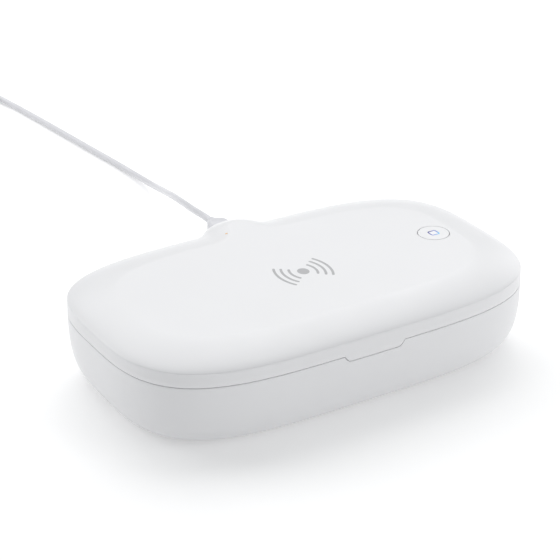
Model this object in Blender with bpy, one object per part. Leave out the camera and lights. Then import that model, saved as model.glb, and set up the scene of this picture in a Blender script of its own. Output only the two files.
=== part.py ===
"""Sterilizer box for a phone, with a charging lid: a bowl-shaped base, a hinged lid, a round
power button and a plugged-in USB lead. Metres, +Z up, the front at -Y, the hinge at +Y."""

import math

import bmesh
import bpy
from mathutils import Matrix, Vector
from mathutils.bvhtree import BVHTree

MM = 0.001

# Whole housing
LENGTH = 228.0 * MM
DEPTH = 138.0 * MM
HEIGHT = 49.3 * MM
HALF_X = LENGTH / 2
HALF_Y = DEPTH / 2
HUMP_REACH = 10.2 * MM
HUMP_RADIUS = 20.0 * MM
HUMP_HALF_FOOT = 22.5 * MM
END_POWER = 4.1
FRONT_POWER = 3.05
BACK_POWER = 3.6
WALL = 2.2 * MM
SEAM_DROP = 13.7 * MM
SEAM_Z = HEIGHT - SEAM_DROP
SEAM_GAP = 0.6 * MM
GAP = 0.3 * MM
OVERRUN = 5.0 * MM
EPS = 0.02 * MM

# Base bowl
BASE_BOTTOM_Z = 0.8 * MM
BASE_INSET = 18.3 * MM
BASE_POWER = 3.18
BASE_HUMP_SHARE = 0.85
BASE_STEPS = 6

# Lid
CREASE_DROP = 6.4 * MM
CREASE_Z = HEIGHT - CREASE_DROP
CREASE_INSET = 0.2 * MM
SHOULDER_WIDTH = 21.5 * MM
SHOULDER_POWER = 1.5
SHOULDER_STEPS = 7
LID_HUMP_SHARE = 0.62
INNER_SHOULDER_DROP = 1.0 * MM

# Front tab of the lid and the notch that takes it
TAB_TOP = 34.8 * MM
TAB_BOTTOM = 29.8 * MM
TAB_DEPTH = 3.2 * MM
TAB_ROUND = 1.2 * MM
TAB_REACH = 14.0 * MM
TAB_BACKING = 40.0 * MM
TAB_BACKING_DEPTH = 9.0 * MM
TAB_BACKING_DROP = 5.1 * MM
TAB_BACKING_HEIGHT = 8.5 * MM
TAB_BACKING_TOP_Z = SEAM_Z - TAB_BACKING_DROP
TAB_BACKING_BOTTOM_Z = TAB_BACKING_TOP_Z - TAB_BACKING_HEIGHT

# Barrel hinge in the hump
PIN_RADIUS = 1.0 * MM
PIN_HOLE_RADIUS = 1.3 * MM
HINGE_DROP = 7.6 * MM
HINGE_Z = HEIGHT - HINGE_DROP
BARREL_RADIUS = 4.2 * MM
HINGE_BACK_INSET = 4.1 * MM
SEAT_RADIUS = 4.9 * MM
KNUCKLE_RADIUS = 3.0 * MM
KNUCKLE_CLEAR_RADIUS = 3.4 * MM
KNUCKLE_WIDTH = 6.0 * MM
KNUCKLE_NECK = 2.6 * MM
BARREL_HALF = 8.2 * MM
SLOT_RISE = 2.1 * MM
TOWER_HALF = 11.5 * MM
TOWER_DEPTH = 12.2 * MM
TOWER_FLOOR_DROP = 8.6 * MM
TOWER_FLOOR_Z = SEAM_Z - TOWER_FLOOR_DROP
TOWER_TOP_DROP = 0.4 * MM
CAVITY_HALF = 5.4 * MM
CAVITY_BACK_WALL = 2.4 * MM

# USB-C port, its board and the plug in it
PORT_X = 4.8 * MM
PORT_DROP = 1.7 * MM
PORT_Z = SEAM_Z - PORT_DROP
CAVITY_UNDER_PORT = 3.8 * MM
CAVITY_OVER_PORT = 2.1 * MM
CAVITY_FLOOR_Z = PORT_Z - CAVITY_UNDER_PORT
CAVITY_TOP_Z = PORT_Z + CAVITY_OVER_PORT
SOCKET_WIDTH = 8.9 * MM
SOCKET_HEIGHT = 3.2 * MM
SOCKET_LENGTH = 7.2 * MM
SOCKET_WALL = 0.3 * MM
PLUG_WIDTH = 7.35 * MM
PLUG_HEIGHT = 1.9 * MM
PLUG_LENGTH = 6.6 * MM
BOSS_WIDTH = 13.0 * MM
BOSS_HEIGHT = 7.0 * MM
PORT_BOARD = (10.0 * MM, 7.0 * MM, 1.1 * MM)
MOULD_WIDTH = 12.6 * MM
MOULD_HEIGHT = 7.6 * MM
MOULD_RISE = 0.7 * MM
MOULD_BODY = 12.6 * MM
MOULD_TAPER = 8.2 * MM
MOULD_TAIL = 5.2 * MM

# Phone chamber
CHAMBER_END_MARGIN = 16.0 * MM
CHAMBER_SIDE_MARGIN = 17.0 * MM
CHAMBER_HALF_X = HALF_X - CHAMBER_END_MARGIN
CHAMBER_HALF_Y = HALF_Y - CHAMBER_SIDE_MARGIN
CHAMBER_DRAFT = 5.0 * MM
CHAMBER_POWER = 5.0
TRAY_WALL = 1.4 * MM
TRAY_FLOOR_Z = 13.0 * MM
FLANGE_INSET = 2.8 * MM
LID_FLANGE_RISE = 1.4 * MM
LID_FLANGE_Z = SEAM_Z + LID_FLANGE_RISE
LINER_WALL = 1.2 * MM
LINER_CEILING_RISE = 5.2 * MM
LINER_CEILING_Z = SEAM_Z + LINER_CEILING_RISE
SEAL_INSET = 5.0 * MM
SEAL_WIDTH = 2.4 * MM

# Ultraviolet lamps
LAMP_RADIUS = 2.0 * MM
LAMP_PIN_RADIUS = 0.5 * MM
WINDOW_END_MARGIN = 20.0 * MM
WINDOW_LENGTH = 2 * (CHAMBER_HALF_X - WINDOW_END_MARGIN)
LAMP_END_MARGIN = 14.0 * MM
LAMP_LENGTH = WINDOW_LENGTH - 2 * LAMP_END_MARGIN
WINDOW_WIDTH = 32.0 * MM
WINDOW_THICKNESS = 1.6 * MM
WINDOW_LEDGE = 3.0 * MM
REFLECTOR_WALL = 0.8 * MM
HOLDER_LENGTH = 6.0 * MM
HOLDER_WIDTH = 8.0 * MM
LID_LAMP_MARGIN = 14.0 * MM
LID_LAMP_Y = CHAMBER_HALF_Y - LID_LAMP_MARGIN
LID_LAMP_RISE = 2.1 * MM
LID_LAMP_Z = SEAM_Z + LID_LAMP_RISE
LID_REFLECTOR_OVERHANG = 5.0 * MM
LID_REFLECTOR = (LAMP_LENGTH + 2 * LID_REFLECTOR_OVERHANG, 12.0 * MM, 0.4 * MM)

# Feet and screws
FOOT_END_MARGIN = 34.0 * MM
FOOT_SIDE_MARGIN = 36.0 * MM
FOOT_X = HALF_X - FOOT_END_MARGIN
FOOT_Y = HALF_Y - FOOT_SIDE_MARGIN
FOOT_RADIUS = 5.6 * MM
FOOT_RECESS = 0.6 * MM
SCREW_HEAD_RADIUS = 2.7 * MM
SCREW_HEAD_HEIGHT = 1.5 * MM
SCREW_RADIUS = 1.25 * MM
BOSS_RADIUS = 4.6 * MM
BOSS_TOP_Z = 5.3 * MM
STUB_RADIUS = 3.6 * MM
BASE_SCREW_LENGTH = 6.2 * MM
LID_SCREW_LENGTH = 4.6 * MM
LID_SCREW_SIDE_MARGIN = 39.0 * MM
LID_SCREW_Y = HALF_Y - LID_SCREW_SIDE_MARGIN
LID_BOSS_RADIUS = 3.2 * MM

# Boards and small electric pieces in the base
MAIN_BOARD = (64.0 * MM, 22.0 * MM, 1.6 * MM)
MAIN_BOARD_MARGIN = 21.0 * MM
MAIN_BOARD_Y = CHAMBER_HALF_Y - MAIN_BOARD_MARGIN
DRIVER = (14.0 * MM, 11.0 * MM, 3.8 * MM)
DRIVER_X = 18.0 * MM
STANDOFF_RADIUS = 2.5 * MM
MAGNET_RADIUS = 4.0 * MM
MAGNET_HEIGHT = 2.5 * MM
MAGNET_SIDE_MARGIN = 8.0 * MM
MAGNET_Y = HALF_Y - MAGNET_SIDE_MARGIN
SENSOR = (7.0 * MM, 3.4 * MM, 2.4 * MM)
SENSOR_X = 13.0 * MM

# Charging coil in the lid
WIRE_RADIUS = 0.45 * MM
WIRE_PITCH = 1.55 * MM
COIL_INNER_RADIUS = 10.5 * MM
COIL_TURNS = 8
COIL_TURN_POINTS = 24
FERRITE_RADIUS = 25.5 * MM
FERRITE_THICKNESS = 0.8 * MM
CARRIER = (58.0 * MM, 56.0 * MM)
MARK_Y = -4.2 * MM

# Power button
BUTTON_END_MARGIN = 32.4 * MM
BUTTON_X = HALF_X - BUTTON_END_MARGIN
BUTTON_Y = -1.4 * MM
BUTTON_RADIUS = 8.2 * MM
BUTTON_GAP = 0.35 * MM
BUTTON_LIP = 1.2 * MM
BUTTON_LIP_HEIGHT = 0.7 * MM
BUTTON_TRAVEL = 0.5 * MM
STEM_RADIUS = 1.6 * MM
BUTTON_BOARD = (16.0 * MM, 20.0 * MM, 1.2 * MM)
SWITCH = (6.0 * MM, 6.0 * MM, 1.2 * MM)
ICON_OUTER = 5.4 * MM
ICON_INNER = 4.0 * MM
ICON_CORNER = 1.4 * MM
ICON_HEIGHT = 0.8 * MM
ICON_GAP = 0.12 * MM

# Status light
LIGHT_X = -10.8 * MM
LIGHT_SIDE_MARGIN = 14.0 * MM
LIGHT_Y = HALF_Y - LIGHT_SIDE_MARGIN
LIGHT_RADIUS = 0.55 * MM
LIGHT_COLLAR_RADIUS = 1.3 * MM

# USB lead
CABLE_RADIUS = 1.9 * MM
CABLE_LIFT = 0.2 * MM
COIL_MIDDLE_RADIUS = 20.4 * MM
COIL_STEP = 4.7 * MM
COIL_LAYER_TURNS = 2.25
COIL_CLIMB_TURNS = 0.5
COIL_LIFT = 1.3 * MM
COIL_ASIDE = 20.4 * MM
COIL_BEHIND = 361.9 * MM
CORD_TURN_POINTS = 24
CABLE_STEP_DIAMETERS = 2.4
TAIL_LENGTH = 46.0 * MM
TIE_THICKNESS = 0.7 * MM
TIE_WIDTH = 6.0 * MM
USB_A_MOULD = (15.6 * MM, 24.0 * MM, 7.8 * MM)
USB_A_RELIEF = 9.0 * MM
USB_A_SHELL = (12.0 * MM, 18.4 * MM, 4.5 * MM)
USB_A_WALL = 0.5 * MM
USB_A_TONGUE = 1.8 * MM
USB_A_LIFT = 0.2 * MM

MIDDLE_Y = -HUMP_REACH / 2
HUMP_CENTRE_Y = HALF_Y + HUMP_REACH - HUMP_RADIUS
BACK_Y = MIDDLE_Y + HALF_Y + HUMP_REACH
HINGE_Y = BACK_Y - HINGE_BACK_INSET
BASE_RIM_Z = SEAM_Z - SEAM_GAP / 2
LID_RIM_Z = SEAM_Z + SEAM_GAP / 2
BASE_FLOOR_Z = BASE_BOTTOM_Z + WALL
CEILING_Z = HEIGHT - WALL
LINER_TOP_Z = LINER_CEILING_Z + LINER_WALL

COLOURS = {
    "white_shell": ((0.86, 0.86, 0.87), 0.32, 0.0),
    "liner": ((0.80, 0.81, 0.82), 0.25, 0.0),
    "polished": ((0.82, 0.82, 0.83), 0.12, 1.0),
    "steel": ((0.62, 0.62, 0.63), 0.28, 1.0),
    "copper": ((0.72, 0.38, 0.20), 0.30, 1.0),
    "board": ((0.04, 0.22, 0.12), 0.50, 0.0),
    "dark": ((0.05, 0.05, 0.06), 0.45, 0.0),
    "rubber": ((0.55, 0.56, 0.57), 0.80, 0.0),
    "quartz": ((0.85, 0.90, 0.93), 0.05, 0.0),
    "cable": ((0.78, 0.78, 0.81), 0.45, 0.0),
    "amber": ((0.90, 0.50, 0.20), 0.20, 0.0),
}


def clear_scene():
    for obj in list(bpy.data.objects):
        bpy.data.objects.remove(obj, do_unlink=True)


def material(name):
    found = bpy.data.materials.get(name)
    if found:
        return found
    colour, roughness, metallic = COLOURS[name]
    made = bpy.data.materials.new(name)
    made.use_nodes = True
    shader = made.node_tree.nodes["Principled BSDF"]
    shader.inputs["Base Color"].default_value = (*colour, 1.0)
    shader.inputs["Roughness"].default_value = roughness
    shader.inputs["Metallic"].default_value = metallic
    made.diffuse_color = (*colour, 1.0)
    return made


def collection(name):
    made = bpy.data.collections.new(name)
    bpy.context.scene.collection.children.link(made)
    return made


def finish(name, data, finish_name, group):
    obj = bpy.data.objects.new(name, data)
    group.objects.link(obj)
    if finish_name:
        data.materials.append(material(finish_name))
    return obj


def as_cutter(obj):
    obj.hide_render = True
    obj.display_type = "WIRE"
    return obj


def mesh_object(name, bm, finish_name, group, smooth=False):
    bmesh.ops.recalc_face_normals(bm, faces=bm.faces)
    data = bpy.data.meshes.new(name)
    bm.to_mesh(data)
    bm.free()
    if smooth:
        data.shade_smooth()
        data.set_sharp_from_angle(angle=math.radians(35.0))
    return finish(name, data, finish_name, group)


def box(name, low, high, finish_name=None, group=None, round_by=0.0):
    """A box between two corners, with its edges rounded by round_by."""
    bm = bmesh.new()
    bmesh.ops.create_cube(bm, size=1.0)
    low, high = Vector(low), Vector(high)
    for vert in bm.verts:
        vert.co = Vector(a + (c + 0.5) * (b - a) for a, b, c in zip(low, high, vert.co))
    if round_by:
        bmesh.ops.bevel(bm, geom=bm.edges[:], offset=round_by, segments=2,
                        affect="EDGES", profile=0.5)
    return mesh_object(name, bm, finish_name, group or CUTTERS)


def sized_box(name, size, centre, finish_name=None, group=None, round_by=0.0):
    half = Vector(size) / 2
    centre = Vector(centre)
    return box(name, centre - half, centre + half, finish_name, group, round_by)


def cylinder(name, radius, low, high, finish_name=None, group=None, axis="Z", sides=32,
             round_by=0.0, top_radius=None):
    """A round bar between two centre points given as the ends along one axis."""
    low, high = Vector(low), Vector(high)
    bm = bmesh.new()
    bmesh.ops.create_cone(bm, cap_ends=True, segments=sides, radius1=radius,
                          radius2=radius if top_radius is None else top_radius,
                          depth=(high - low).length)
    if round_by:
        caps = [edge for edge in bm.edges
                if abs(edge.verts[0].co.z - edge.verts[1].co.z) < EPS]
        bmesh.ops.bevel(bm, geom=caps, offset=round_by, segments=2, affect="EDGES", profile=0.5)
    turn = {"Z": Matrix(), "X": Matrix.Rotation(math.pi / 2, 4, "Y"),
            "Y": Matrix.Rotation(-math.pi / 2, 4, "X")}[axis]
    bmesh.ops.transform(bm, matrix=Matrix.Translation((low + high) / 2) @ turn, verts=bm.verts)
    return mesh_object(name, bm, finish_name, group or CUTTERS, smooth=True)


def loft(name, rings, finish_name=None, group=None, smooth=True):
    """One closed body through rings of as many points each, capped at both ends."""
    bm = bmesh.new()
    rows = [[bm.verts.new(point) for point in ring] for ring in rings]
    count = len(rows[0])
    for lower, upper in zip(rows, rows[1:]):
        for i in range(count):
            j = (i + 1) % count
            bm.faces.new((lower[i], lower[j], upper[j], upper[i]))
    bmesh.ops.triangulate(bm, faces=bm.faces[:])
    bm.faces.new(reversed(rows[0]))
    bm.faces.new(rows[-1])
    return mesh_object(name, bm, finish_name, group or CUTTERS, smooth)


def tube(name, points, radius, finish_name=None, group=None, resolution=2):
    """A round tube along a polyline with filled caps, turned into a welded mesh."""
    curve = bpy.data.curves.new(name, "CURVE")
    curve.dimensions = "3D"
    curve.bevel_depth = radius
    curve.bevel_resolution = resolution
    curve.use_fill_caps = True
    spline = curve.splines.new("POLY")
    spline.points.add(len(points) - 1)
    for place, point in zip(spline.points, points):
        place.co = (*point, 1.0)
    guide = finish(name + "_line", curve, None, CUTTERS)
    bpy.context.view_layer.update()
    graph = bpy.context.evaluated_depsgraph_get()
    data = bpy.data.meshes.new_from_object(guide.evaluated_get(graph))
    bpy.data.objects.remove(guide, do_unlink=True)
    bm = bmesh.new()
    bm.from_mesh(data)
    bpy.data.meshes.remove(data)
    bmesh.ops.remove_doubles(bm, verts=bm.verts, dist=EPS / 10)
    return mesh_object(name, bm, finish_name, group or CUTTERS, smooth=True)


def cut(obj, *cutters):
    for cutter in cutters:
        combine(obj, cutter, "DIFFERENCE")
    return obj


def add(obj, *others):
    for other in others:
        combine(obj, other, "UNION")
    return obj


def keep_inside(obj, other):
    return combine(obj, other, "INTERSECT")


def combine(obj, other, operation):
    modifier = obj.modifiers.new(operation.lower() + "_" + other.name, "BOOLEAN")
    modifier.operation = operation
    modifier.solver = "EXACT"
    modifier.object = other
    as_cutter(other)
    return obj


def oval(half_x, half_y, power_x, power_front, power_back, turn):
    """A point of the rounded oblong at the angle turn, about the housing's middle."""
    cosine, sine = math.cos(turn), math.sin(turn)
    power_y = power_back if sine > 0 else power_front
    return (math.copysign(half_x * abs(cosine) ** (2 / power_x), cosine),
            math.copysign(half_y * abs(sine) ** (2 / power_y), sine))


def housing_ring(inset, hump_inset, z, body_points=64, fillet_points=4, lobe_points=10):
    """The housing's outline drawn in by inset, with the hinge hump at its back edge."""
    half_x, half_y = HALF_X - inset, HALF_Y - inset
    foot_turn = math.acos((HUMP_HALF_FOOT / half_x) ** (END_POWER / 2))
    foot_y = oval(half_x, half_y, END_POWER, FRONT_POWER, BACK_POWER, foot_turn)[1]
    lobe = HUMP_RADIUS - hump_inset
    rise = foot_y - HUMP_CENTRE_Y
    fillet = (HUMP_HALF_FOOT ** 2 + rise ** 2 - lobe ** 2) / (2 * (lobe - rise))
    lean = math.atan2(rise + fillet, HUMP_HALF_FOOT)
    points = []
    for side in (1, -1):
        arc = []
        for i in range(fillet_points):
            angle = -math.pi / 2 - (math.pi / 2 - lean) * i / fillet_points
            arc.append((side * (HUMP_HALF_FOOT + fillet * math.cos(angle)),
                        foot_y + fillet + fillet * math.sin(angle)))
        if side == 1:
            points += arc
            for i in range(lobe_points + 1):
                angle = lean + (math.pi - 2 * lean) * i / lobe_points
                points.append((lobe * math.cos(angle), HUMP_CENTRE_Y + lobe * math.sin(angle)))
        else:
            points += arc[::-1]
    start = math.pi - foot_turn
    sweep = math.pi + 2 * foot_turn
    for i in range(1, body_points):
        points.append(oval(half_x, half_y, END_POWER, FRONT_POWER, BACK_POWER,
                           start + sweep * i / body_points))
    return [(x, y + MIDDLE_Y, z) for x, y in points]


def oblong_ring(half_x, half_y, power, z, points=56):
    ring = []
    for i in range(points):
        x, y = oval(half_x, half_y, power, power, power, 2 * math.pi * (i + 0.5) / points)
        ring.append((x, y + MIDDLE_Y, z))
    return ring


def plain_ring(inset, z, points=56):
    """The housing's outline without the hump, as the flanges inside it have."""
    ring = []
    for i in range(points):
        x, y = oval(HALF_X - inset, HALF_Y - inset, END_POWER, FRONT_POWER, BACK_POWER,
                    2 * math.pi * (i + 0.5) / points)
        ring.append((x, y + MIDDLE_Y, z))
    return ring


def bowl_rings(wall, floor_z, top_z):
    """Rings of the base bowl from its floor up, drawn in by the wall."""
    rings = []
    for step in range(BASE_STEPS, -1, -1):
        angle = math.pi / 2 * step / BASE_STEPS
        inset_share = 1 - math.cos(angle) ** (2 / BASE_POWER) if step < BASE_STEPS else 1.0
        height_share = 1 - math.sin(angle) ** (2 / BASE_POWER)
        inset = wall + (BASE_INSET - wall / 2) * inset_share
        hump_inset = wall + (BASE_INSET - wall / 2) * BASE_HUMP_SHARE * inset_share
        z = floor_z + (SEAM_Z - floor_z) * height_share
        rings.append(housing_ring(inset, hump_inset, z))
    rings[-1] = housing_ring(wall, wall, top_z)
    return rings


def shoulder_rings(wall, low_z, top_z):
    """Rings of the lid's shoulder from the crease up to its flat top."""
    rings = []
    for step in range(SHOULDER_STEPS + 1):
        angle = math.pi / 2 * step / SHOULDER_STEPS
        inset_share = 1 - math.cos(angle) ** (2 / SHOULDER_POWER) if step < SHOULDER_STEPS else 1.0
        height_share = math.sin(angle) ** (2 / SHOULDER_POWER)
        inset = wall + CREASE_INSET + SHOULDER_WIDTH * inset_share
        hump_inset = wall + CREASE_INSET + SHOULDER_WIDTH * LID_HUMP_SHARE * inset_share
        rings.append(housing_ring(inset, hump_inset, low_z + (top_z - low_z) * height_share))
    return rings


def tab_profile(level, grow):
    """The seam's line seen from the front, with the tab's step down, rounded at its corners."""
    half_top, half_bottom = TAB_TOP / 2 + grow, TAB_BOTTOM / 2 + grow
    low = level - TAB_DEPTH
    slope = Vector((half_bottom - half_top, low - level)).normalized()
    flat = Vector((-1.0, 0.0))
    corner = Vector((half_bottom, low))
    start = corner - slope * TAB_ROUND
    end = corner + flat * TAB_ROUND
    side = [Vector((half_top, level)), start]
    side += [start.lerp(corner, 0.5).lerp(corner.lerp(end, 0.5), 0.5), end]
    return [(p.x, p.y) for p in side] + [(-p.x, p.y) for p in reversed(side)]


def slab(name, outline, low_y, high_y):
    """A flat outline in X and Z, drawn through from one Y to another."""
    return loft(name, [[(x, y, z) for x, z in outline] for y in (low_y, high_y)], smooth=False)


def hinge_slab(name, outline, half_width):
    """An outline in Y and Z about the hinge's axis, drawn through along that axis."""
    return loft(name, [[(x, HINGE_Y + y, HINGE_Z + z) for y, z in outline]
                       for x in (-half_width, half_width)], smooth=False)


def arc_points(radius, start, end, count):
    return [(radius * math.cos(start + (end - start) * i / count),
             radius * math.sin(start + (end - start) * i / count)) for i in range(count + 1)]


def seam_cutter(name, level, grow, up):
    """Everything above or below the seam at the front, with the tab's step in it."""
    far = HEIGHT + OVERRUN if up else BASE_BOTTOM_Z - OVERRUN
    wide = HALF_X + OVERRUN
    line = tab_profile(level, grow)
    outline = [(wide, far), (wide, level)] + line + [(-wide, level), (-wide, far)]
    front = MIDDLE_Y - HALF_Y
    return slab(name, outline, front - OVERRUN, front + TAB_REACH)


def ray_height(obj, x, y):
    """The height of an object's top surface over a point."""
    bm = bmesh.new()
    bm.from_mesh(obj.data)
    tree = BVHTree.FromBMesh(bm)
    bm.free()
    return tree.ray_cast(Vector((x, y, HEIGHT + OVERRUN)), Vector((0.0, 0.0, -1.0)))[0].z


def corner_places(half_x, half_y):
    return {"front_left": (-half_x, MIDDLE_Y - half_y), "front_right": (half_x, MIDDLE_Y - half_y),
            "back_left": (-half_x, MIDDLE_Y + half_y), "back_right": (half_x, MIDDLE_Y + half_y)}


def knuckle_outline():
    """What goes from the tower's middle to leave one knuckle on its neck in the seat."""
    seat = SEAT_RADIUS - EPS * 5
    half = KNUCKLE_NECK / 2
    wide_lean, lean = math.asin(half / seat), math.asin(half / KNUCKLE_RADIUS)
    drop = math.asin(TOWER_TOP_DROP / seat)
    far = SEAT_RADIUS + OVERRUN
    outline = arc_points(seat, wide_lean - math.pi / 2, 0.0, 12)
    outline += [(far, 0.0), (far, far), (-far, far), (-far, -TOWER_TOP_DROP)]
    outline += arc_points(seat, math.pi + drop, math.pi * 1.5 - wide_lean, 12)
    return outline + arc_points(KNUCKLE_RADIUS, math.pi * 1.5 - lean, lean - math.pi / 2, 28)


def build_base_shell():
    top = HINGE_Z - TOWER_TOP_DROP
    high = HINGE_Z + KNUCKLE_RADIUS + WALL
    outer = bowl_rings(0.0, BASE_BOTTOM_Z, high)
    outer.insert(-1, housing_ring(0.0, 0.0, SEAM_Z - TAB_DEPTH))
    inner = bowl_rings(WALL, BASE_FLOOR_Z, high)
    shell = loft("base_shell", outer + inner[::-1], "white_shell", PARTS)
    front = MIDDLE_Y - HALF_Y
    wide = HALF_X + OVERRUN
    tower_front = BACK_Y - TOWER_DEPTH
    over = high + OVERRUN

    footprint = loft("tower_outline", [housing_ring(EPS, EPS, TOWER_FLOOR_Z),
                                       housing_ring(EPS, EPS, over)])
    tower = box("tower_block", (-TOWER_HALF, tower_front, TOWER_FLOOR_Z),
                (TOWER_HALF, BACK_Y + OVERRUN, high - WALL / 2))
    keep_inside(tower, footprint)
    port_boss = sized_box("port_boss", (BOSS_WIDTH, WALL * 3, BOSS_HEIGHT),
                          (PORT_X, BACK_Y - WALL * 1.5 - EPS, PORT_Z))
    backing = box("tab_backing", (-TAB_BACKING / 2, front + WALL / 2, TAB_BACKING_BOTTOM_Z),
                  (TAB_BACKING / 2, front + WALL / 2 + TAB_BACKING_DEPTH, TAB_BACKING_TOP_Z))
    add(shell, tower, port_boss, backing)

    cut(shell,
        seam_cutter("seam_above", BASE_RIM_Z, SEAM_GAP, True),
        box("above_rim_left", (-wide, front + TAB_REACH - EPS, BASE_RIM_Z),
            (-TOWER_HALF, BACK_Y + OVERRUN, over)),
        box("above_rim_right", (TOWER_HALF, front + TAB_REACH - EPS, BASE_RIM_Z),
            (wide, BACK_Y + OVERRUN, over)),
        box("above_rim_middle", (-TOWER_HALF - EPS, front + TAB_REACH - EPS, BASE_RIM_Z),
            (TOWER_HALF + EPS, tower_front - EPS, over)),
        hinge_slab("knuckle_around", knuckle_outline(), KNUCKLE_WIDTH / 2 + GAP))
    for side in (-1, 1):
        low, far = sorted((side * KNUCKLE_WIDTH / 2, side * wide))
        cut(shell,
            box("above_tower_%d" % (side + 2), (low, front, top), (far, BACK_Y + OVERRUN, over)),
            cylinder("barrel_seat_%d" % (side + 2), SEAT_RADIUS, (low, HINGE_Y, HINGE_Z),
                     (far, HINGE_Y, HINGE_Z), axis="X", sides=48))
    cut(shell,
        box("port_cavity", (PORT_X - CAVITY_HALF, tower_front - OVERRUN, CAVITY_FLOOR_Z),
            (PORT_X + CAVITY_HALF, BACK_Y - CAVITY_BACK_WALL, CAVITY_TOP_Z)),
        sized_box("port_opening", (SOCKET_WIDTH + 2 * GAP, OVERRUN * 2, SOCKET_HEIGHT + 2 * GAP),
                  (PORT_X, BACK_Y, PORT_Z), round_by=SOCKET_HEIGHT / 3))

    cut(shell, cylinder("base_pin_hole", PIN_HOLE_RADIUS, (-wide, HINGE_Y, HINGE_Z),
                        (wide, HINGE_Y, HINGE_Z), axis="X", sides=24))

    for name, (x, y) in corner_places(FOOT_X, FOOT_Y).items():
        add(shell, cylinder("boss_" + name, BOSS_RADIUS, (x, y, BASE_BOTTOM_Z + WALL / 2),
                            (x, y, BOSS_TOP_Z), sides=20))
        head_top = BASE_BOTTOM_Z + FOOT_RECESS + GAP + SCREW_HEAD_HEIGHT + GAP
        cut(shell,
            cylinder("foot_recess_" + name, FOOT_RADIUS + GAP, (x, y, BASE_BOTTOM_Z - OVERRUN),
                     (x, y, BASE_BOTTOM_Z + FOOT_RECESS), sides=32),
            cylinder("head_recess_" + name, SCREW_HEAD_RADIUS + GAP,
                     (x, y, BASE_BOTTOM_Z - OVERRUN), (x, y, head_top), sides=20),
            cylinder("boss_hole_" + name, SCREW_RADIUS + GAP, (x, y, BASE_BOTTOM_Z - OVERRUN),
                     (x, y, BOSS_TOP_Z + OVERRUN), sides=16))
    for side in (-1, 1):
        x = side * (MAIN_BOARD[0] / 2 - STANDOFF_RADIUS * 2)
        add(shell, cylinder("standoff_%d" % (side + 2), STANDOFF_RADIUS,
                            (x, MIDDLE_Y + MAIN_BOARD_Y, BASE_BOTTOM_Z + WALL / 2),
                            (x, MIDDLE_Y + MAIN_BOARD_Y, BOSS_TOP_Z), sides=16))
    return shell


def build_tray():
    top = BASE_RIM_Z
    under = top - TRAY_WALL
    floor_x, floor_y = CHAMBER_HALF_X - CHAMBER_DRAFT, CHAMBER_HALF_Y - CHAMBER_DRAFT
    rings = [
        oblong_ring(floor_x, floor_y, CHAMBER_POWER, TRAY_FLOOR_Z),
        oblong_ring(CHAMBER_HALF_X, CHAMBER_HALF_Y, CHAMBER_POWER, top),
        plain_ring(FLANGE_INSET, top),
        plain_ring(FLANGE_INSET, under),
        oblong_ring(CHAMBER_HALF_X + TRAY_WALL, CHAMBER_HALF_Y + TRAY_WALL, CHAMBER_POWER, under),
        oblong_ring(floor_x + TRAY_WALL, floor_y + TRAY_WALL, CHAMBER_POWER,
                    TRAY_FLOOR_Z - TRAY_WALL),
    ]
    tray = loft("chamber_tray", rings, "liner", PARTS)
    for name, (x, y) in corner_places(FOOT_X, FOOT_Y).items():
        low = BOSS_TOP_Z + GAP
        add(tray, cylinder("stub_" + name, STUB_RADIUS, (x, y, low),
                           (x, y, TRAY_FLOOR_Z - TRAY_WALL / 2), sides=20))
        cut(tray, cylinder("stub_hole_" + name, SCREW_RADIUS + GAP, (x, y, low - OVERRUN),
                           (x, y, BASE_SCREW_TOP_Z + GAP), sides=16))
    cut(tray, sized_box("window_opening",
                        (WINDOW_LENGTH - 2 * WINDOW_LEDGE, WINDOW_WIDTH - 2 * WINDOW_LEDGE,
                         OVERRUN * 2), (0.0, MIDDLE_Y, TRAY_FLOOR_Z)))
    return tray


def build_base_lamp():
    window_top = TRAY_FLOOR_Z - TRAY_WALL - GAP
    window_low = window_top - WINDOW_THICKNESS
    sized_box("base_window", (WINDOW_LENGTH, WINDOW_WIDTH, WINDOW_THICKNESS),
              (0.0, MIDDLE_Y, window_top - WINDOW_THICKNESS / 2), "quartz", PARTS)
    low, high = BASE_FLOOR_Z + GAP, window_low - GAP
    half_x, half_y = WINDOW_LENGTH / 2, WINDOW_WIDTH / 2
    reflector = box("base_reflector", (-half_x, MIDDLE_Y - half_y, low),
                    (half_x, MIDDLE_Y + half_y, high), "polished", PARTS)
    trough = loft("trough", [
        [(x * (half_x - inset), MIDDLE_Y + y * (half_y - inset - slope), z)
         for x, y in ((-1, -1), (1, -1), (1, 1), (-1, 1))]
        for inset, slope, z in ((REFLECTOR_WALL, half_y * TROUGH_SLOPE_SHARE, low + REFLECTOR_WALL),
                                (REFLECTOR_WALL, 0.0, high),
                                (REFLECTOR_WALL, 0.0, high + OVERRUN))], smooth=False)
    cut(reflector, trough)
    lamp_z = (low + REFLECTOR_WALL + high) / 2
    build_lamp("base", MIDDLE_Y, lamp_z, low + REFLECTOR_WALL + GAP, high - GAP)


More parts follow.
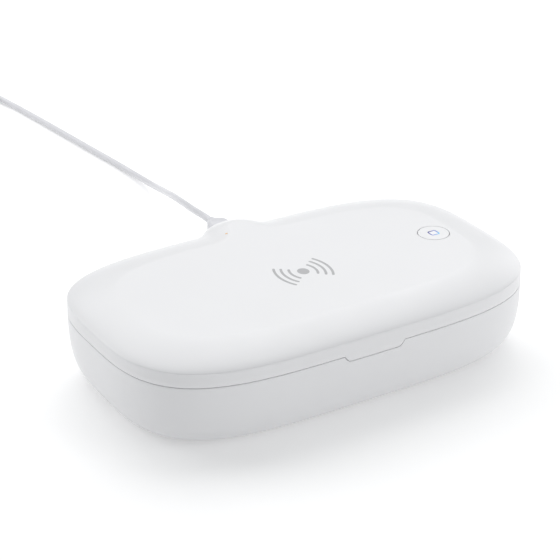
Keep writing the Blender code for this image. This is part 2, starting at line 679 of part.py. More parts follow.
def build_lamp(name, y, z, holder_low, holder_high):
    """A glass tube with a thin lead at each end, in two holders."""
    half = LAMP_LENGTH / 2
    lamp = cylinder(name + "_uv_lamp", LAMP_RADIUS, (-half, y, z), (half, y, z), "quartz", PARTS,
                    axis="X", sides=16, round_by=LAMP_RADIUS / 3)
    lead = cylinder(name + "_lamp_lead", LAMP_PIN_RADIUS, (-half - HOLDER_LENGTH / 2, y, z),
                    (half + HOLDER_LENGTH / 2, y, z), axis="X", sides=8)
    add(lamp, lead)
    for side, label in ((-1, "left"), (1, "right")):
        middle = side * half
        holder = box(name + "_lamp_holder_" + label,
                     (middle - HOLDER_LENGTH, y - HOLDER_WIDTH / 2, holder_low),
                     (middle + HOLDER_LENGTH, y + HOLDER_WIDTH / 2, holder_high), "liner", PARTS,
                     round_by=REFLECTOR_WALL / 2)
        cut(holder, cylinder(name + "_holder_bore_" + label, LAMP_RADIUS + GAP,
                             (middle - side * OVERRUN * 3, y, z), (middle + side * GAP * 2, y, z),
                             axis="X", sides=16),
            cylinder(name + "_lead_bore_" + label, LAMP_PIN_RADIUS + GAP,
                     (middle, y, z), (middle + side * (HOLDER_LENGTH / 2 + GAP), y, z),
                     axis="X", sides=8))


def build_base_electrics():
    board_low = BOSS_TOP_Z + GAP
    sized_box("main_board", MAIN_BOARD,
              (0.0, MIDDLE_Y + MAIN_BOARD_Y, board_low + MAIN_BOARD[2] / 2), "board", PARTS)
    driver_low = board_low + MAIN_BOARD[2] + GAP
    sized_box("lamp_driver", DRIVER,
              (DRIVER_X, MIDDLE_Y + MAIN_BOARD_Y, driver_low + DRIVER[2] / 2), "dark", PARTS,
              round_by=GAP)
    magnet_low = TAB_BACKING_TOP_Z + GAP
    y = MIDDLE_Y - MAGNET_Y
    cylinder("base_magnet", MAGNET_RADIUS, (0.0, y, magnet_low),
             (0.0, y, magnet_low + MAGNET_HEIGHT), "steel", PARTS, sides=24)
    sized_box("lid_sensor", SENSOR, (SENSOR_X, y, magnet_low + SENSOR[2] / 2), "dark", PARTS)

    socket_back = BACK_Y - GAP
    socket_front = socket_back - SOCKET_LENGTH
    bars = []
    for name, thin, low, high in (("usb_socket", 0.0, socket_front, socket_back),
                                  ("socket_mouth", SOCKET_WALL, socket_front + 2 * SOCKET_WALL,
                                   BACK_Y + OVERRUN)):
        width, height = SOCKET_WIDTH - 2 * thin, SOCKET_HEIGHT - 2 * thin
        rings = [rounded_section(width, height, height / 2, y, (PORT_X, PORT_Z))
                 for y in (low, high)]
        outside = name == "usb_socket"
        bars.append(loft(name, rings, "steel" if outside else None, PARTS if outside else None))
    cut(*bars)
    board_top = PORT_Z - SOCKET_HEIGHT / 2 - GAP
    sized_box("port_board", PORT_BOARD,
              (PORT_X, socket_front + PORT_BOARD[1] / 2 - WALL, board_top - PORT_BOARD[2] / 2),
              "board", PARTS)


def build_hinge_pin():
    cylinder("hinge_pin", PIN_RADIUS, (-BARREL_HALF + GAP, HINGE_Y, HINGE_Z),
             (BARREL_HALF - GAP, HINGE_Y, HINGE_Z), "steel", PARTS, axis="X", sides=16,
             round_by=PIN_RADIUS / 4)


def build_feet_and_screws():
    for name, (x, y) in corner_places(FOOT_X, FOOT_Y).items():
        cylinder("foot_" + name, FOOT_RADIUS, (x, y, 0.0),
                 (x, y, BASE_BOTTOM_Z + FOOT_RECESS - GAP), "rubber", PARTS, sides=32)
        low = BASE_BOTTOM_Z + FOOT_RECESS + GAP
        screw("base_screw_" + name, x, y, low, BASE_SCREW_LENGTH)


def screw(name, x, y, head_low, length):
    head_high = head_low + SCREW_HEAD_HEIGHT
    made = cylinder(name, SCREW_HEAD_RADIUS, (x, y, head_low), (x, y, head_high), "steel", PARTS,
                    sides=16)
    add(made, cylinder(name + "_shank", SCREW_RADIUS, (x, y, head_low + SCREW_HEAD_HEIGHT / 2),
                       (x, y, head_high + length), sides=8, top_radius=SCREW_RADIUS / 2))
    cut(made, cylinder(name + "_drive", SCREW_RADIUS * 0.8, (x, y, head_low - OVERRUN),
                       (x, y, head_low + SCREW_HEAD_HEIGHT / 2), sides=6))
    return made


def build_lid_shell():
    skirt_low = LID_RIM_Z - TAB_DEPTH
    skirt = [housing_ring(0.0, 0.0, skirt_low), housing_ring(0.0, 0.0, LID_RIM_Z)]
    outer = skirt + shoulder_rings(0.0, CREASE_Z, HEIGHT)
    inner = [housing_ring(WALL, WALL, skirt_low)]
    inner += shoulder_rings(WALL, CREASE_Z - INNER_SHOULDER_DROP, CEILING_Z)
    solid = loft("lid_solid", outer)
    shell = loft("lid_shell", inner[::-1] + outer, "white_shell", PARTS)

    front = MIDDLE_Y - HALF_Y
    wide = HALF_X + OVERRUN
    cut(shell,
        seam_cutter("seam_below", LID_RIM_Z, 0.0, False),
        box("below_rim", (-wide, front + TAB_REACH - EPS, BASE_BOTTOM_Z),
            (wide, BACK_Y + OVERRUN, LID_RIM_Z)),
        box("tower_notch", (-TOWER_HALF - GAP * 2, BACK_Y - TOWER_DEPTH - GAP * 2, BASE_BOTTOM_Z),
            (TOWER_HALF + GAP * 2, BACK_Y + OVERRUN, HINGE_Z)))
    barrel = cylinder("lid_barrel", BARREL_RADIUS, (-TOWER_HALF - WALL, HINGE_Y, HINGE_Z),
                      (TOWER_HALF + WALL, HINGE_Y, HINGE_Z), axis="X", sides=48)
    root = box("barrel_root", (-TOWER_HALF - WALL, HINGE_Y, HINGE_Z),
               (TOWER_HALF + WALL, BACK_Y, CREASE_Z))
    add(barrel, root)
    keep_inside(barrel, solid)
    add(shell, barrel)
    lean = math.asin(SLOT_RISE / KNUCKLE_CLEAR_RADIUS)
    low = BASE_BOTTOM_Z - HINGE_Z
    outline = [(-SEAT_RADIUS, low), (OVERRUN * 2, low), (OVERRUN * 2, SLOT_RISE)]
    outline += arc_points(KNUCKLE_CLEAR_RADIUS, lean, math.pi - lean, 12)
    outline += [(-SEAT_RADIUS, SLOT_RISE)]
    cut(shell,
        hinge_slab("knuckle_slot", outline, KNUCKLE_WIDTH / 2 + GAP),
        cylinder("lid_pin_hole", PIN_HOLE_RADIUS, (-BARREL_HALF, HINGE_Y, HINGE_Z),
                 (BARREL_HALF, HINGE_Y, HINGE_Z), axis="X", sides=24))

    light_y = MIDDLE_Y + LIGHT_Y
    cut(shell,
        cylinder("button_hole", BUTTON_RADIUS + BUTTON_GAP,
                 (BUTTON_X, MIDDLE_Y + BUTTON_Y, CEILING_Z - OVERRUN),
                 (BUTTON_X, MIDDLE_Y + BUTTON_Y, HEIGHT + OVERRUN), sides=48),
        cylinder("light_hole", LIGHT_RADIUS + GAP / 2, (LIGHT_X, light_y, CEILING_Z - OVERRUN),
                 (LIGHT_X, light_y, HEIGHT + OVERRUN), sides=16))
    for name, (x, y) in corner_places(FOOT_X, LID_SCREW_Y).items():
        if (Vector((x, y)) - Vector((BUTTON_X, MIDDLE_Y + BUTTON_Y))).length < BUTTON_RADIUS:
            continue
        add(shell, cylinder("lid_boss_" + name, LID_BOSS_RADIUS, (x, y, LINER_TOP_Z + GAP),
                            (x, y, CEILING_Z + WALL / 2), sides=20))
        cut(shell, cylinder("lid_boss_hole_" + name, SCREW_RADIUS + GAP, (x, y, LINER_CEILING_Z),
                            (x, y, LID_SCREW_TOP_Z + GAP), sides=16))
    return shell, solid


def build_lid_liner():
    low = LID_FLANGE_Z
    top = low + LINER_WALL
    ceiling_x, ceiling_y = CHAMBER_HALF_X - CHAMBER_DRAFT, CHAMBER_HALF_Y - CHAMBER_DRAFT
    rings = [
        oblong_ring(ceiling_x, ceiling_y, CHAMBER_POWER, LINER_CEILING_Z),
        oblong_ring(CHAMBER_HALF_X, CHAMBER_HALF_Y, CHAMBER_POWER, low),
        plain_ring(FLANGE_INSET, low),
        plain_ring(FLANGE_INSET, top),
        oblong_ring(CHAMBER_HALF_X + LINER_WALL, CHAMBER_HALF_Y + LINER_WALL, CHAMBER_POWER, top),
        oblong_ring(ceiling_x + LINER_WALL, ceiling_y + LINER_WALL, CHAMBER_POWER, LINER_TOP_Z),
    ]
    liner = loft("lid_liner", rings, "liner", PARTS)
    for name, (x, y) in corner_places(FOOT_X, LID_SCREW_Y).items():
        cut(liner, cylinder("liner_hole_" + name, SCREW_RADIUS + GAP,
                            (x, y, LINER_CEILING_Z - OVERRUN), (x, y, LINER_TOP_Z + OVERRUN),
                            sides=16))
        screw("lid_screw_" + name, x, y, LINER_CEILING_Z - GAP - SCREW_HEAD_HEIGHT,
              LID_SCREW_LENGTH)
    seal_low, seal_high = BASE_RIM_Z + GAP, LID_FLANGE_Z - GAP
    outer, inner = SEAL_INSET, SEAL_INSET + SEAL_WIDTH
    seal = loft("lid_seal", [plain_ring(outer, seal_low), plain_ring(outer, seal_high)],
                "rubber", PARTS)
    cut(seal, loft("seal_middle", [plain_ring(inner, seal_low - OVERRUN),
                                   plain_ring(inner, seal_high + OVERRUN)]))
    return liner


def build_lid_lamp():
    y = MIDDLE_Y + LID_LAMP_Y
    reflector_high = LINER_CEILING_Z - GAP
    sized_box("lid_reflector", LID_REFLECTOR,
              (0.0, y, reflector_high - LID_REFLECTOR[2] / 2), "polished", PARTS)
    holder_high = reflector_high - LID_REFLECTOR[2] - GAP
    build_lamp("lid", y, LID_LAMP_Z, LID_LAMP_Z - LAMP_RADIUS - REFLECTOR_WALL, holder_high)


def spiral_points(inner, pitch, turns, z, middle):
    count = int(turns * COIL_TURN_POINTS)
    points = []
    for i in range(count + 1):
        turn = i / COIL_TURN_POINTS
        radius = inner + pitch * turn
        angle = 2 * math.pi * turn
        points.append((radius * math.cos(angle), middle + radius * math.sin(angle), z))
    return points


def build_charger():
    middle = MIDDLE_Y + MARK_Y
    wire_z = CEILING_Z - GAP - WIRE_RADIUS
    tube("charging_coil", spiral_points(COIL_INNER_RADIUS, WIRE_PITCH, COIL_TURNS, wire_z, middle),
         WIRE_RADIUS, "copper", PARTS, resolution=1)
    ferrite_high = wire_z - WIRE_RADIUS - GAP
    ferrite_low = ferrite_high - FERRITE_THICKNESS
    cylinder("ferrite_disc", FERRITE_RADIUS, (0.0, middle, ferrite_low), (0.0, middle, ferrite_high),
             "dark", PARTS, sides=48)
    low, high = LINER_TOP_Z + GAP, ferrite_low - GAP
    sized_box("coil_carrier", (*CARRIER, high - low), (0.0, middle, (low + high) / 2), "liner",
              PARTS, round_by=GAP)


def build_button(solid):
    x, y = BUTTON_X, MIDDLE_Y + BUTTON_Y
    lip_high = CEILING_Z - GAP
    cap = cylinder("power_button", BUTTON_RADIUS, (x, y, lip_high - BUTTON_LIP_HEIGHT / 2),
                   (x, y, HEIGHT), "white_shell", PARTS, sides=48, round_by=GAP / 2)
    add(cap, cylinder("button_lip", BUTTON_RADIUS + BUTTON_LIP, (x, y, lip_high - BUTTON_LIP_HEIGHT),
                      (x, y, lip_high), sides=48))
    board_low = LINER_TOP_Z + GAP
    board_high = board_low + BUTTON_BOARD[2]
    switch_low = board_high + GAP
    switch_high = switch_low + SWITCH[2]
    stem_low = switch_high + GAP + BUTTON_TRAVEL
    add(cap, cylinder("button_stem", STEM_RADIUS, (x, y, stem_low), (x, y, lip_high), sides=16))
    sized_box("button_board", BUTTON_BOARD, (x, y, (board_low + board_high) / 2), "board", PARTS)
    sized_box("button_switch", SWITCH, (x, y, (switch_low + switch_high) / 2), "dark", PARTS,
              round_by=GAP / 2)
    foot = HEIGHT - ICON_HEIGHT
    icon = rounded_bar("button_icon", ICON_OUTER, ICON_CORNER, foot, HEIGHT, "quartz", PARTS)
    cut(icon, rounded_bar("icon_middle", ICON_INNER, ICON_CORNER - (ICON_OUTER - ICON_INNER) / 2,
                          foot - OVERRUN, HEIGHT + OVERRUN))
    groove = rounded_bar("icon_groove", ICON_OUTER + 2 * ICON_GAP, ICON_CORNER + ICON_GAP,
                         foot - ICON_GAP, HEIGHT + OVERRUN)
    core = rounded_bar("icon_core", ICON_INNER - 2 * ICON_GAP,
                       ICON_CORNER - (ICON_OUTER - ICON_INNER) / 2 - ICON_GAP,
                       foot - OVERRUN, HEIGHT + OVERRUN * 2)
    cut(groove, core)
    cut(cap, groove)

    light_y = MIDDLE_Y + LIGHT_Y
    surface = ray_height(solid, LIGHT_X, light_y)
    collar_high = CEILING_Z - INNER_SHOULDER_DROP - GAP
    pipe = cylinder("status_light_pipe", LIGHT_RADIUS, (LIGHT_X, light_y, LIGHT_FOOT_Z),
                    (LIGHT_X, light_y, surface), "amber", PARTS, sides=16)
    add(pipe, cylinder("light_collar", LIGHT_COLLAR_RADIUS, (LIGHT_X, light_y, LIGHT_FOOT_Z),
                       (LIGHT_X, light_y, collar_high), sides=16))
    magnet_low = LID_FLANGE_Z + LINER_WALL + GAP
    magnet_y = MIDDLE_Y - MAGNET_Y
    cylinder("lid_magnet", MAGNET_RADIUS, (0.0, magnet_y, magnet_low),
             (0.0, magnet_y, magnet_low + MAGNET_HEIGHT), "steel", PARTS, sides=24)


def rounded_bar(name, size, corner, low, high, finish_name=None, group=None):
    """A square post with rounded corners, upright at the power button's middle."""
    ring = rounded_section(size, size, corner, 0.0, (0.0, 0.0), 5)
    middle = MIDDLE_Y + BUTTON_Y
    rings = [[(BUTTON_X + x, middle + y, z) for x, _, y in ring] for z in (low, high)]
    return loft(name, rings, finish_name, group, smooth=False)


def rounded_section(width, height, corner, y, centre, corner_points=4):
    """A rounded rectangle square to Y, as a ring of points."""
    corner = min(corner, width / 2, height / 2)
    ring = []
    for quarter, (sx, sz) in enumerate(((1, 1), (-1, 1), (-1, -1), (1, -1))):
        for i in range(corner_points):
            angle = math.pi / 2 * (quarter + i / (corner_points - 1))
            ring.append((centre[0] + sx * (width / 2 - corner) + corner * math.cos(angle), y,
                         centre[1] + sz * (height / 2 - corner) + corner * math.sin(angle)))
    return ring


def build_plug():
    face = BACK_Y + GAP
    mouth = face - PLUG_LENGTH
    place = (PORT_X, PORT_Z)
    sections = [(0.0, 0.90), (0.6 * MM, 1.0), (MOULD_BODY, 1.0)]
    high = (PORT_X, PORT_Z + MOULD_RISE)
    rings = [rounded_section(MOULD_WIDTH * share, MOULD_HEIGHT * share, MOULD_HEIGHT / 3,
                             face + y, high) for y, share in sections]
    for i in range(1, 6):
        share = i / 5
        ease = share * share * (3 - 2 * share)
        width = MOULD_WIDTH + (MOULD_TAIL - MOULD_WIDTH) * ease
        height = MOULD_HEIGHT + (MOULD_TAIL - MOULD_HEIGHT) * ease
        rings.append(rounded_section(width, height, MOULD_HEIGHT / 3 + (MOULD_TAIL / 2
                                     - MOULD_HEIGHT / 3) * ease,
                                     face + MOULD_BODY + MOULD_TAPER * share, high))
    loft("plug_overmould", rings, "white_shell", PARTS)
    plug = [rounded_section(PLUG_WIDTH, PLUG_HEIGHT, PLUG_HEIGHT / 2, y, place)
            for y in (mouth + GAP * 2, face - GAP)]
    loft("usb_c_plug", plug, "steel", PARTS)


def smooth_route(route, spacing):
    """Evenly spaced points on a smooth curve through the route's own points."""
    points = [Vector(p) for p in route]
    points = [points[0] * 2 - points[1]] + points + [points[-1] * 2 - points[-2]]
    fine = []
    for a, b, c, d in zip(points, points[1:], points[2:], points[3:]):
        for i in range(24):
            t = i / 24
            fine.append(0.5 * (2 * b + (c - a) * t + (2 * a - 5 * b + 4 * c - d) * t * t
                               + (3 * b - a - 3 * c + d) * t ** 3))
    fine.append(points[-2])
    lengths = [0.0]
    for p, q in zip(fine, fine[1:]):
        lengths.append(lengths[-1] + (q - p).length)
    count = max(2, round(lengths[-1] / spacing))
    result, at = [], 0
    for i in range(count + 1):
        want = lengths[-1] * i / count
        while at < len(lengths) - 2 and lengths[at + 1] < want:
            at += 1
        span = lengths[at + 1] - lengths[at]
        result.append(fine[at].lerp(fine[at + 1], (want - lengths[at]) / span if span else 0.0))
    return result


# The lead's free stretch, from the strain relief back and down to the surface that the box is
# on, in a long loose curve. Each place is how far aside of the port and behind the box it is,
# in millimetres, and its height as a share of the way from the surface up to the port.
CABLE_ROUTE = [
    (0.1, 28.1, 1.0),
    (1.3, 43.9, 0.975),
    (4.5, 61.9, 0.868),
    (10.3, 85.9, 0.645),
    (18.0, 112.9, 0.378),
    (24.4, 139.9, 0.142),
    (26.6, 163.9, 0.03),
    (25.6, 187.9, 0.0),
    (22.4, 217.9, 0.0),
    (18.8, 251.9, 0.0),
    (14.9, 287.9, 0.0),
    (11.0, 319.9, 0.0),
]


def cord_coil_points():
    """The coil's centreline: inward on the lower layer, up, then outward on the upper one."""
    outer = COIL_MIDDLE_RADIUS + COIL_STEP * COIL_LAYER_TURNS / 2
    inner = outer - COIL_STEP * COIL_LAYER_TURNS
    low = CABLE_RADIUS + COIL_LIFT
    total = 2 * COIL_LAYER_TURNS + COIL_CLIMB_TURNS
    points = []
    count = round(total * CORD_TURN_POINTS)
    for i in range(count + 1):
        turn = total * i / count
        after = turn - COIL_LAYER_TURNS - COIL_CLIMB_TURNS
        if turn <= COIL_LAYER_TURNS:
            radius, z = outer - COIL_STEP * turn, low
        elif after <= 0:
            share = (turn - COIL_LAYER_TURNS) / COIL_CLIMB_TURNS
            radius, z = inner, low + COIL_STEP * share * share * (3 - 2 * share)
        else:
            radius, z = inner + COIL_STEP * after, low + COIL_STEP
        angle = 2 * math.pi * turn
        points.append(Vector((COIL_X + radius * math.cos(angle),
                              COIL_Y + radius * math.sin(angle), z)))
    return points


def least_self_gap(points, radius):
    """The least clear gap between stretches of a tube that are more than half a turn apart."""
    skip = CORD_TURN_POINTS // 2
    least = min((points[i] - points[j]).length
                for i in range(len(points)) for j in range(i + skip, len(points)))
    return least - 2 * radius


def path_length(points):
    return sum((q - p).length for p, q in zip(points, points[1:]))


def build_cable():
    diameter = 2 * CABLE_RADIUS
    exit_z, rest_z = PORT_Z + MOULD_RISE, CABLE_RADIUS + CABLE_LIFT
    start = Vector((PORT_X, BACK_Y + GAP + MOULD_BODY + MOULD_TAPER + GAP, exit_z))
    coil = cord_coil_points()
    lead = coil[0] - Vector((0.0, diameter, 0.0))
    meet = lead - Vector((0.0, GAP, 0.0))
    route = [start, start + Vector((0.0, diameter, 0.0))]
    route += [Vector((PORT_X + aside * MM, BACK_Y + behind * MM,
                      rest_z + (exit_z - rest_z) * share)) for aside, behind, share in CABLE_ROUTE]
    route += [meet - Vector((0.0, diameter * 2, 0.0)), meet]
    run = smooth_route(route, diameter * CABLE_STEP_DIAMETERS)
    run = [start, start + Vector((0.0, diameter, 0.0))] + run[2:-1]
    run += [meet - Vector((0.0, diameter, 0.0)), meet]
    tube("cable_run", run, CABLE_RADIUS, "cable", PARTS, resolution=2)

    end = coil[-1]
    plug_z = USB_A_MOULD[2] / 2 + USB_A_LIFT
    tail = [end, end + Vector((0.0, diameter, 0.0))]
    for share in (0.3, 0.5, 0.7, 0.88, 1.0):
        ease = share * share * (3 - 2 * share)
        tail.append(Vector((end.x, end.y + TAIL_LENGTH * share,
                            end.z + (plug_z - end.z) * min(1.0, ease * 1.1))))
    loops = [lead] + coil + tail[1:]
    tube("cable_coil", loops, CABLE_RADIUS, "cable", PARTS, resolution=1)
    print("cable_run %.1f mm, cable_coil %.1f mm, least gap in the coil %.2f mm"
          % (path_length(run) / MM, path_length(loops) / MM,
             least_self_gap(loops, CABLE_RADIUS) / MM))
    build_tie(coil)
    build_far_plug(Vector((end.x, end.y + TAIL_LENGTH + GAP, plug_z)))


def build_tie(coil):
    """A band round both layers of the coil, on the side away from its two ends."""
    near = [p for p in coil if p.x < COIL_X and abs(p.y - COIL_Y) < TIE_WIDTH]
    room = CABLE_RADIUS + GAP * 1.4
    low_x, high_x = min(p.x for p in near) - room, max(p.x for p in near) + room
    low_z, high_z = min(p.z for p in near) - room, max(p.z for p in near) + room
    centre = ((low_x + high_x) / 2, (low_z + high_z) / 2)
    width, height = high_x - low_x, high_z - low_z
    rings = []
    for grow, side in ((0.0, 1), (0.0, -1), (TIE_THICKNESS, -1), (TIE_THICKNESS, 1)):
        rings.append(rounded_section(width + 2 * grow, height + 2 * grow, room + grow,
                                     COIL_Y + side * TIE_WIDTH / 2, centre))
    bm = bmesh.new()
    rows = [[bm.verts.new(point) for point in ring] for ring in rings]
    count = len(rows[0])
    for lower, upper in zip(rows, rows[1:] + rows[:1]):
        for i in range(count):
            j = (i + 1) % count
            bm.faces.new((lower[i], lower[j], upper[j], upper[i]))
    mesh_object("cable_tie", bm, "rubber", PARTS, smooth=True)


def build_far_plug(start):
    """The USB-A plug at the lead's far end, lying flat with its mouth away from the coil."""
    width, length, height = USB_A_MOULD
    place = (start.x, start.z)
    relief = 2 * CABLE_RADIUS + GAP * 4
    sections = [(0.0, relief, relief, relief / 2), (USB_A_RELIEF * 0.6, relief, relief, relief / 2),
                (USB_A_RELIEF, width * 0.7, height * 0.86, height * 0.3),
                (USB_A_RELIEF * 1.3, width, height, height * 0.3),
                (USB_A_RELIEF + length, width, height, height * 0.3)]
    loft("far_plug_mould", [rounded_section(w, h, corner, start.y + y, place)
                            for y, w, h, corner in sections], "white_shell", PARTS)
    width, length, height = USB_A_SHELL
    low = start.y + USB_A_RELIEF + USB_A_MOULD[1] + GAP
    shell = sized_box("far_plug_shell", USB_A_SHELL, (start.x, low + length / 2, start.z),
                      "steel", PARTS)
    mouth = box("far_plug_mouth",
                (start.x - width / 2 + USB_A_WALL, low + USB_A_WALL * 2,
                 start.z - height / 2 + USB_A_WALL),
                (start.x + width / 2 - USB_A_WALL, low + length + OVERRUN,
                 start.z + height / 2 - USB_A_WALL))
    cut(shell, mouth)
    add(shell, box("far_plug_tongue",
                   (start.x - width / 2 + USB_A_WALL / 2, low + USB_A_WALL,
                    start.z + height / 2 - USB_A_WALL - USB_A_TONGUE),
                   (start.x + width / 2 - USB_A_WALL / 2, low + length - USB_A_WALL * 2,
                    start.z + height / 2 - USB_A_WALL / 2)))


def make_parts():
    shell = build_base_shell()
    build_tray()
    build_base_lamp()
    build_base_electrics()
    build_hinge_pin()
    build_feet_and_screws()
    lid_shell, solid = build_lid_shell()
    build_lid_liner()
    build_lid_lamp()
    build_charger()
    build_button(solid)
    build_plug()
    build_cable()
    as_cutter(solid)
    return shell, lid_shell


TROUGH_SLOPE_SHARE = 0.35
COIL_X = PORT_X - COIL_ASIDE
COIL_Y = BACK_Y + COIL_BEHIND
LIGHT_FOOT_Z = LINER_TOP_Z + GAP
BASE_SCREW_TOP_Z = BASE_BOTTOM_Z + FOOT_RECESS + GAP + SCREW_HEAD_HEIGHT + BASE_SCREW_LENGTH
LID_SCREW_TOP_Z = LINER_CEILING_Z - GAP + LID_SCREW_LENGTH

clear_scene()
PARTS = collection("phone_sterilizer")
CUTTERS = collection("cutters")
make_parts()
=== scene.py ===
"""Looks for the phone sterilizer box: fine white shells, the printed charging mark, the lit
button, the lamp chamber and the USB lead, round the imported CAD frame."""

import math

import bmesh
import bpy
from mathutils import Matrix, Vector


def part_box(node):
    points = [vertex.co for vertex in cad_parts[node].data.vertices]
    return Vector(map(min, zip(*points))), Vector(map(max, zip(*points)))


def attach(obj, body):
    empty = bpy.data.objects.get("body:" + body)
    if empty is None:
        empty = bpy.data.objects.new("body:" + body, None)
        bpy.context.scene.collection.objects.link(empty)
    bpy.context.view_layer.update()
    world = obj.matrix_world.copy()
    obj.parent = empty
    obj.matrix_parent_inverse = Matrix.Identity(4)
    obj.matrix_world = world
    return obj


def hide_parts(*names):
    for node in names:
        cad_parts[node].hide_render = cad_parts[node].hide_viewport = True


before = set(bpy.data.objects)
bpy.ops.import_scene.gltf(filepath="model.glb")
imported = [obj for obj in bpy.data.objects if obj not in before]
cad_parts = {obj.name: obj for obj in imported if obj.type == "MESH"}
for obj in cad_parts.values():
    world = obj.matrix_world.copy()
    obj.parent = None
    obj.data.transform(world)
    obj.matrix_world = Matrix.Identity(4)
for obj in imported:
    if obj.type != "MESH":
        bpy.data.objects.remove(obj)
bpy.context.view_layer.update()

MM = 0.001

# The camera that was fitted to the photo's outlines: lengths in millimetres, and the azimuth,
# the elevation and the roll in degrees
CAMERA_TARGET = (-5.635, 4.291, 39.970)
CAMERA_DISTANCE = 899.928
CAMERA_ANGLES = (-31.029, 26.615, -0.243)
CAMERA_LENS = 114.14
SENSOR_WIDTH = 36.0
CAMERA_CLIP = (10.0, 20000.0)

# The housing, as in the CAD
LENGTH = 228.0 * MM
DEPTH = 138.0 * MM
HEIGHT = 49.3 * MM
HUMP_REACH = 10.2 * MM
HUMP_RADIUS = 20.0 * MM
HUMP_HALF_FOOT = 22.5 * MM
END_POWER = 4.1
FRONT_POWER = 3.05
BACK_POWER = 3.6
WALL = 2.2 * MM
SEAM_Z = 35.6 * MM
SEAM_GAP = 0.6 * MM
GAP = 0.3 * MM
OVERRUN = 5.0 * MM
EPS = 0.02 * MM
BASE_BOTTOM_Z = 0.8 * MM
BASE_INSET = 18.3 * MM
BASE_POWER = 3.18
BASE_HUMP_SHARE = 0.85
CREASE_Z = 42.9 * MM
CREASE_INSET = 0.2 * MM
SHOULDER_WIDTH = 21.5 * MM
SHOULDER_POWER = 1.5
LID_HUMP_SHARE = 0.62
INNER_SHOULDER_DROP = 1.0 * MM
TAB_TOP = 34.8 * MM
TAB_BOTTOM = 29.8 * MM
TAB_DEPTH = 3.2 * MM

# Where the visible shells differ from the CAD: a flatter shoulder, a narrower seam that widens
# near the hinge, a rounder tab with closer sides, and rounded edges
SHOULDER_FACE_POWER = 1.32
RIM_LIFT = 0.27 * MM
RIM_LIFT_START = 45 * MM
RIM_LIFT_REACH = 30 * MM
TAB_ROUND = 1.4 * MM
TAB_SIDE_GAP = 0.08 * MM
EDGE_ROUND = 0.13 * MM
EDGE_MIDDLE = EDGE_ROUND * 0.3

# How the visible shells and round pieces are drawn
TAB_SOFTNESS = 0.55
SOFT_REACH = 20
BOWL_LAST_ANGLE = 0.033
STRAIGHT_WALL = 1.2 * MM
EDGE_ANGLES = (0.4, 0.8, 1.2)
HOUSING_STEPS = (44, 30)
PLAIN_STEPS = 40
LOBE_STEPS = 20
FILLET_POINTS = 14
BOWL_STEPS = 26
INNER_BOWL_STEPS = 10
SHOULDER_STEPS = 30
INNER_SHOULDER_STEPS = 9
SEAT_ARC_STEPS = 24
KNUCKLE_ARC_STEPS = 64
SLOT_ARC_STEPS = 32
CORNER_POINTS = 10
BARREL_SIDES = 128
BUTTON_SIDES = 160
LIGHT_SIDES = 40
SHARP_ANGLE = 32.0
SMOOTH_FACE_CORNERS = 8

# The hinge, the port and the plug
PIN_HOLE_RADIUS = 1.3 * MM
HINGE_Z = 41.7 * MM
BARREL_RADIUS = 4.2 * MM
HINGE_BACK_INSET = 4.1 * MM
SEAT_RADIUS = 4.9 * MM
KNUCKLE_RADIUS = 3.0 * MM
KNUCKLE_CLEAR_RADIUS = 3.4 * MM
KNUCKLE_WIDTH = 6.0 * MM
KNUCKLE_NECK = 2.6 * MM
BARREL_HALF = 8.2 * MM
SLOT_RISE = 2.1 * MM
TOWER_HALF = 11.5 * MM
TOWER_DEPTH = 12.2 * MM
TOWER_FLOOR_Z = 27.0 * MM
TOWER_TOP_DROP = 0.4 * MM
CAVITY_FLOOR_Z = 30.1 * MM
CAVITY_TOP_Z = 36.0 * MM
CAVITY_HALF = 5.4 * MM
CAVITY_BACK_WALL = 2.4 * MM
PORT_X = 4.8 * MM
PORT_Z = 33.9 * MM
SOCKET_WIDTH = 8.9 * MM
SOCKET_HEIGHT = 3.2 * MM
BOSS_WIDTH = 13.0 * MM
BOSS_HEIGHT = 7.0 * MM
BOSS_ROUND = 0.4 * MM
MOULD_WIDTH = 12.6 * MM
MOULD_HEIGHT = 7.6 * MM
MOULD_RISE = 0.7 * MM
MOULD_BODY = 12.6 * MM
MOULD_TAPER = 8.2 * MM
MOULD_TAIL = 5.2 * MM
MOULD_CORNER = MOULD_HEIGHT * 0.34
MOULD_STEPS = 14
LEAD_IN_MOULD = 1.0 * MM

# The chamber
CHAMBER_HALF_X = 98.0 * MM
CHAMBER_HALF_Y = 52.0 * MM
CHAMBER_DRAFT = 5.0 * MM
CHAMBER_POWER = 5.0
CHAMBER_ROUND = 1.0 * MM
TRAY_WALL = 1.4 * MM
TRAY_FLOOR_Z = 13.0 * MM
FLANGE_INSET = 2.8 * MM
LID_FLANGE_Z = 37.0 * MM
LINER_WALL = 1.2 * MM
LINER_CEILING_Z = 40.8 * MM
WINDOW_LENGTH = 156.0 * MM
WINDOW_WIDTH = 32.0 * MM
WINDOW_LEDGE = 3.0 * MM

# The feet, the lid's screws, the button, the status light and the printed mark. The icon's ring
# is 0.05 mm wider on each side than in the CAD.
FOOT_X = 80.0 * MM
FOOT_Y = 33.0 * MM
FOOT_RADIUS = 5.6 * MM
FOOT_RECESS = 0.6 * MM
FOOT_ROUND = 0.25 * MM
FOOT_ROUND_MIDDLE = 0.07 * MM
FOOT_HOLLOW = 0.12 * MM
LID_SCREW_Y = 30.0 * MM
SCREW_RADIUS = 1.25 * MM
BUTTON_X = 81.6 * MM
BUTTON_Y = -1.4 * MM
BUTTON_RADIUS = 8.2 * MM
BUTTON_GAP = 0.35 * MM
BUTTON_EDGE = 0.22 * MM
BUTTON_SKIRT_Z = 46.1 * MM
ICON_OUTER = 5.4 * MM
ICON_INNER = 3.9 * MM
ICON_CORNER = 1.4 * MM
ICON_HEIGHT = 0.8 * MM
ICON_BEVEL_DEPTH = 0.08 * MM
ICON_BEVEL = 0.06 * MM
LIGHT_X = -10.8 * MM
LIGHT_Y = 55.0 * MM
